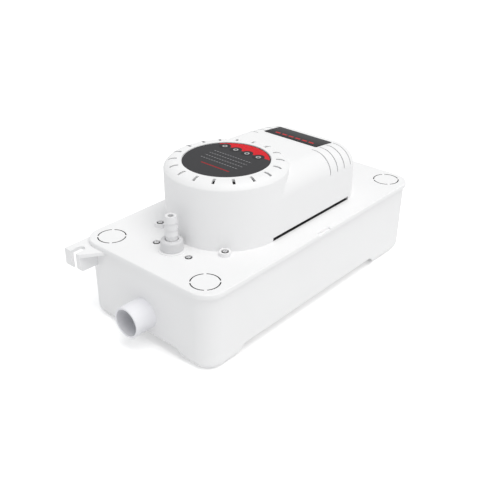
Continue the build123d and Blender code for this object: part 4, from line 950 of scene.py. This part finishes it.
# ---------------------------------------------------------------------------
# Check valve. A moulded body under the lid with a ball in it; above the lid a
# round nut clamps a hose barb of three teeth on a rubber ring.
# ---------------------------------------------------------------------------
nut_low, nut_top, nut_radius, nut_edge = 0.0721, 0.0813, 0.0092, 0.0020
nut_thread, nut_mouth, nut_shoulder_z = 0.00702, 0.00542, 0.0799
barb_bore, barb_flange, barb_foot_z, barb_root = 0.0023, 0.0066, 0.0783, 0.0048
tooth_radius, tooth_tip, tooth_land, tooth_count = 0.0054, 0.0046, 0.0006, 3
teeth_low, barb_top = 0.0849, 0.1018
nut_outline = [(nut_thread, nut_low), (nut_radius, nut_low)]
for i in range(5):
    lean = radians(22.5 * i)
    nut_outline.append((nut_radius - nut_edge * (1 - cos(lean)), nut_top - nut_edge * (1 - sin(lean))))
nut_outline += [(nut_mouth, nut_top), (nut_mouth, nut_shoulder_z), (nut_thread, nut_shoulder_z)]
nut = revolved("valve_clamp_nut", nut_outline, (valve_x, 0, 0), steps=96)
soften(nut, 0.0002, steps=2)
barb_outline = [(barb_bore, barb_foot_z), (barb_flange, barb_foot_z), (barb_flange, nut_shoulder_z)]
barb_outline += [(barb_root, nut_shoulder_z), (barb_root, teeth_low)]
tooth = (barb_top - teeth_low) / tooth_count
for i in range(tooth_count):
    low = teeth_low + i * tooth
    barb_outline += [(tooth_radius, low), (tooth_radius, low + tooth_land), (tooth_tip, low + tooth)]
barb_outline.append((barb_bore, barb_top))
barb = revolved("hose_barb_stub", barb_outline, (valve_x, 0, 0), steps=64)
soften(barb, 0.0002, steps=2)
grey_plastic = plastic("nut_plastic", (0.69, 0.69, 0.70), gloss=0.38)
pale_plastic = plastic("barb_plastic", (0.79, 0.79, 0.80), gloss=0.38)
for piece, node, finish in ((nut, "valve_nut", grey_plastic), (barb, "hose_barb", pale_plastic)):
    dress(piece, finish)
    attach(piece, "pump_head")
    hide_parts(node)
dress_node("check_valve_body", grey_plastic)
dress_node("valve_ring", rubber)
dress_node("valve_ball", plastic("ball_nitrile", (0.04, 0.04, 0.045), gloss=0.45))

# ---------------------------------------------------------------------------
# Motor, pump, float and switches under the cover and in the tank. They keep
# their own solids, in steel, copper, brass and moulded plastics.
# ---------------------------------------------------------------------------


def bare_metal(name, low, high, gloss, scale):
    """A solid metal with a fine streaked surface."""
    finish, nodes, links, shader = new_finish(name)
    shader.inputs["Metallic"].default_value = 1.0
    where = nodes.new("ShaderNodeTexCoord")
    stretch = nodes.new("ShaderNodeMapping")
    stretch.inputs["Scale"].default_value = scale
    links.new(where.outputs["Object"], stretch.inputs["Vector"])
    streaks = nodes.new("ShaderNodeTexNoise")
    streaks.inputs["Scale"].default_value = 1.0
    links.new(stretch.outputs[0], streaks.inputs["Vector"])
    shade = nodes.new("ShaderNodeValToRGB")
    shade.color_ramp.elements[0].color = (*low, 1)
    shade.color_ramp.elements[1].color = (*high, 1)
    links.new(streaks.outputs["Fac"], shade.inputs["Fac"])
    links.new(shade.outputs["Color"], shader.inputs["Base Color"])
    spread = nodes.new("ShaderNodeMapRange")
    spread.inputs["To Min"].default_value = gloss
    spread.inputs["To Max"].default_value = gloss + 0.2
    links.new(streaks.outputs["Fac"], spread.inputs["Value"])
    links.new(spread.outputs[0], shader.inputs["Roughness"])
    return finish


laminations = bare_metal("laminated_steel", (0.30, 0.30, 0.31), (0.55, 0.55, 0.56), 0.35, (60, 60, 2400))
steel = bare_metal("bright_steel", (0.55, 0.55, 0.56), (0.72, 0.72, 0.72), 0.25, (900, 900, 60))
brass = bare_metal("brass", (0.62, 0.42, 0.17), (0.80, 0.58, 0.27), 0.28, (700, 700, 200))
copper = bare_metal("enamelled_copper", (0.52, 0.18, 0.07), (0.78, 0.34, 0.16), 0.30, (50, 50, 3000))
die_cast = bare_metal("die_cast_alloy", (0.50, 0.50, 0.51), (0.66, 0.66, 0.67), 0.42, (500, 500, 500))
bronze = bare_metal("oiled_bronze", (0.42, 0.27, 0.13), (0.60, 0.41, 0.21), 0.40, (1500, 1500, 1500))
for node, finish in (
    ("stator_stack", laminations),
    ("coil_bobbin", plastic("bobbin_nylon", (0.62, 0.60, 0.52))),
    ("coil_winding", copper),
    ("lower_bearing_bracket", die_cast),
    ("upper_bearing_bracket", die_cast),
    ("lower_bush", bronze),
    ("upper_bush", bronze),
    ("motor_bolts", zinc),
    ("motor_shaft", steel),
    ("rotor_core", laminations),
    ("cooling_fan", plastic("fan_plastic", (0.05, 0.05, 0.055), gloss=0.5)),
    ("pump_body", plastic("pump_body_plastic", (0.07, 0.07, 0.075), gloss=0.5)),
    ("volute_cover", plastic("volute_plastic", (0.09, 0.09, 0.095), gloss=0.5)),
    ("pump_screws", zinc),
    ("volute_screws", zinc),
    ("impeller", plastic("impeller_plastic", (0.55, 0.55, 0.53), gloss=0.4)),
    ("discharge_hose", plastic("black_hose", (0.03, 0.03, 0.032), gloss=0.5, scale=900.0, bump=0.08)),
    ("float_pin", steel),
    ("float_arm", plastic("arm_acetal", (0.66, 0.66, 0.64), gloss=0.36)),
    ("float_block", plastic("float_foam", (0.70, 0.69, 0.64), gloss=0.7, scale=700.0, bump=0.25)),
    ("switch_bracket", steel),
    ("bracket_screws", zinc),
    ("run_switch", plastic("switch_black", (0.03, 0.03, 0.032), gloss=0.45)),
    ("safety_switch", plastic("switch_red", (0.45, 0.03, 0.03), gloss=0.45)),
    ("run_switch_lever", steel),
    ("safety_switch_lever", steel),
    ("run_switch_plunger", plastic("plunger_white", (0.75, 0.75, 0.74), gloss=0.4)),
    ("safety_switch_plunger", plastic("plunger_cream", (0.75, 0.72, 0.60), gloss=0.4)),
    ("switch_screws", zinc),
    ("switch_nuts", brass),
    ("terminal_block", plastic("terminal_cream", (0.70, 0.66, 0.55), gloss=0.45)),
    ("terminal_screws", brass),
    ("cord_grommet", rubber),
):
    dress_node(node, finish)
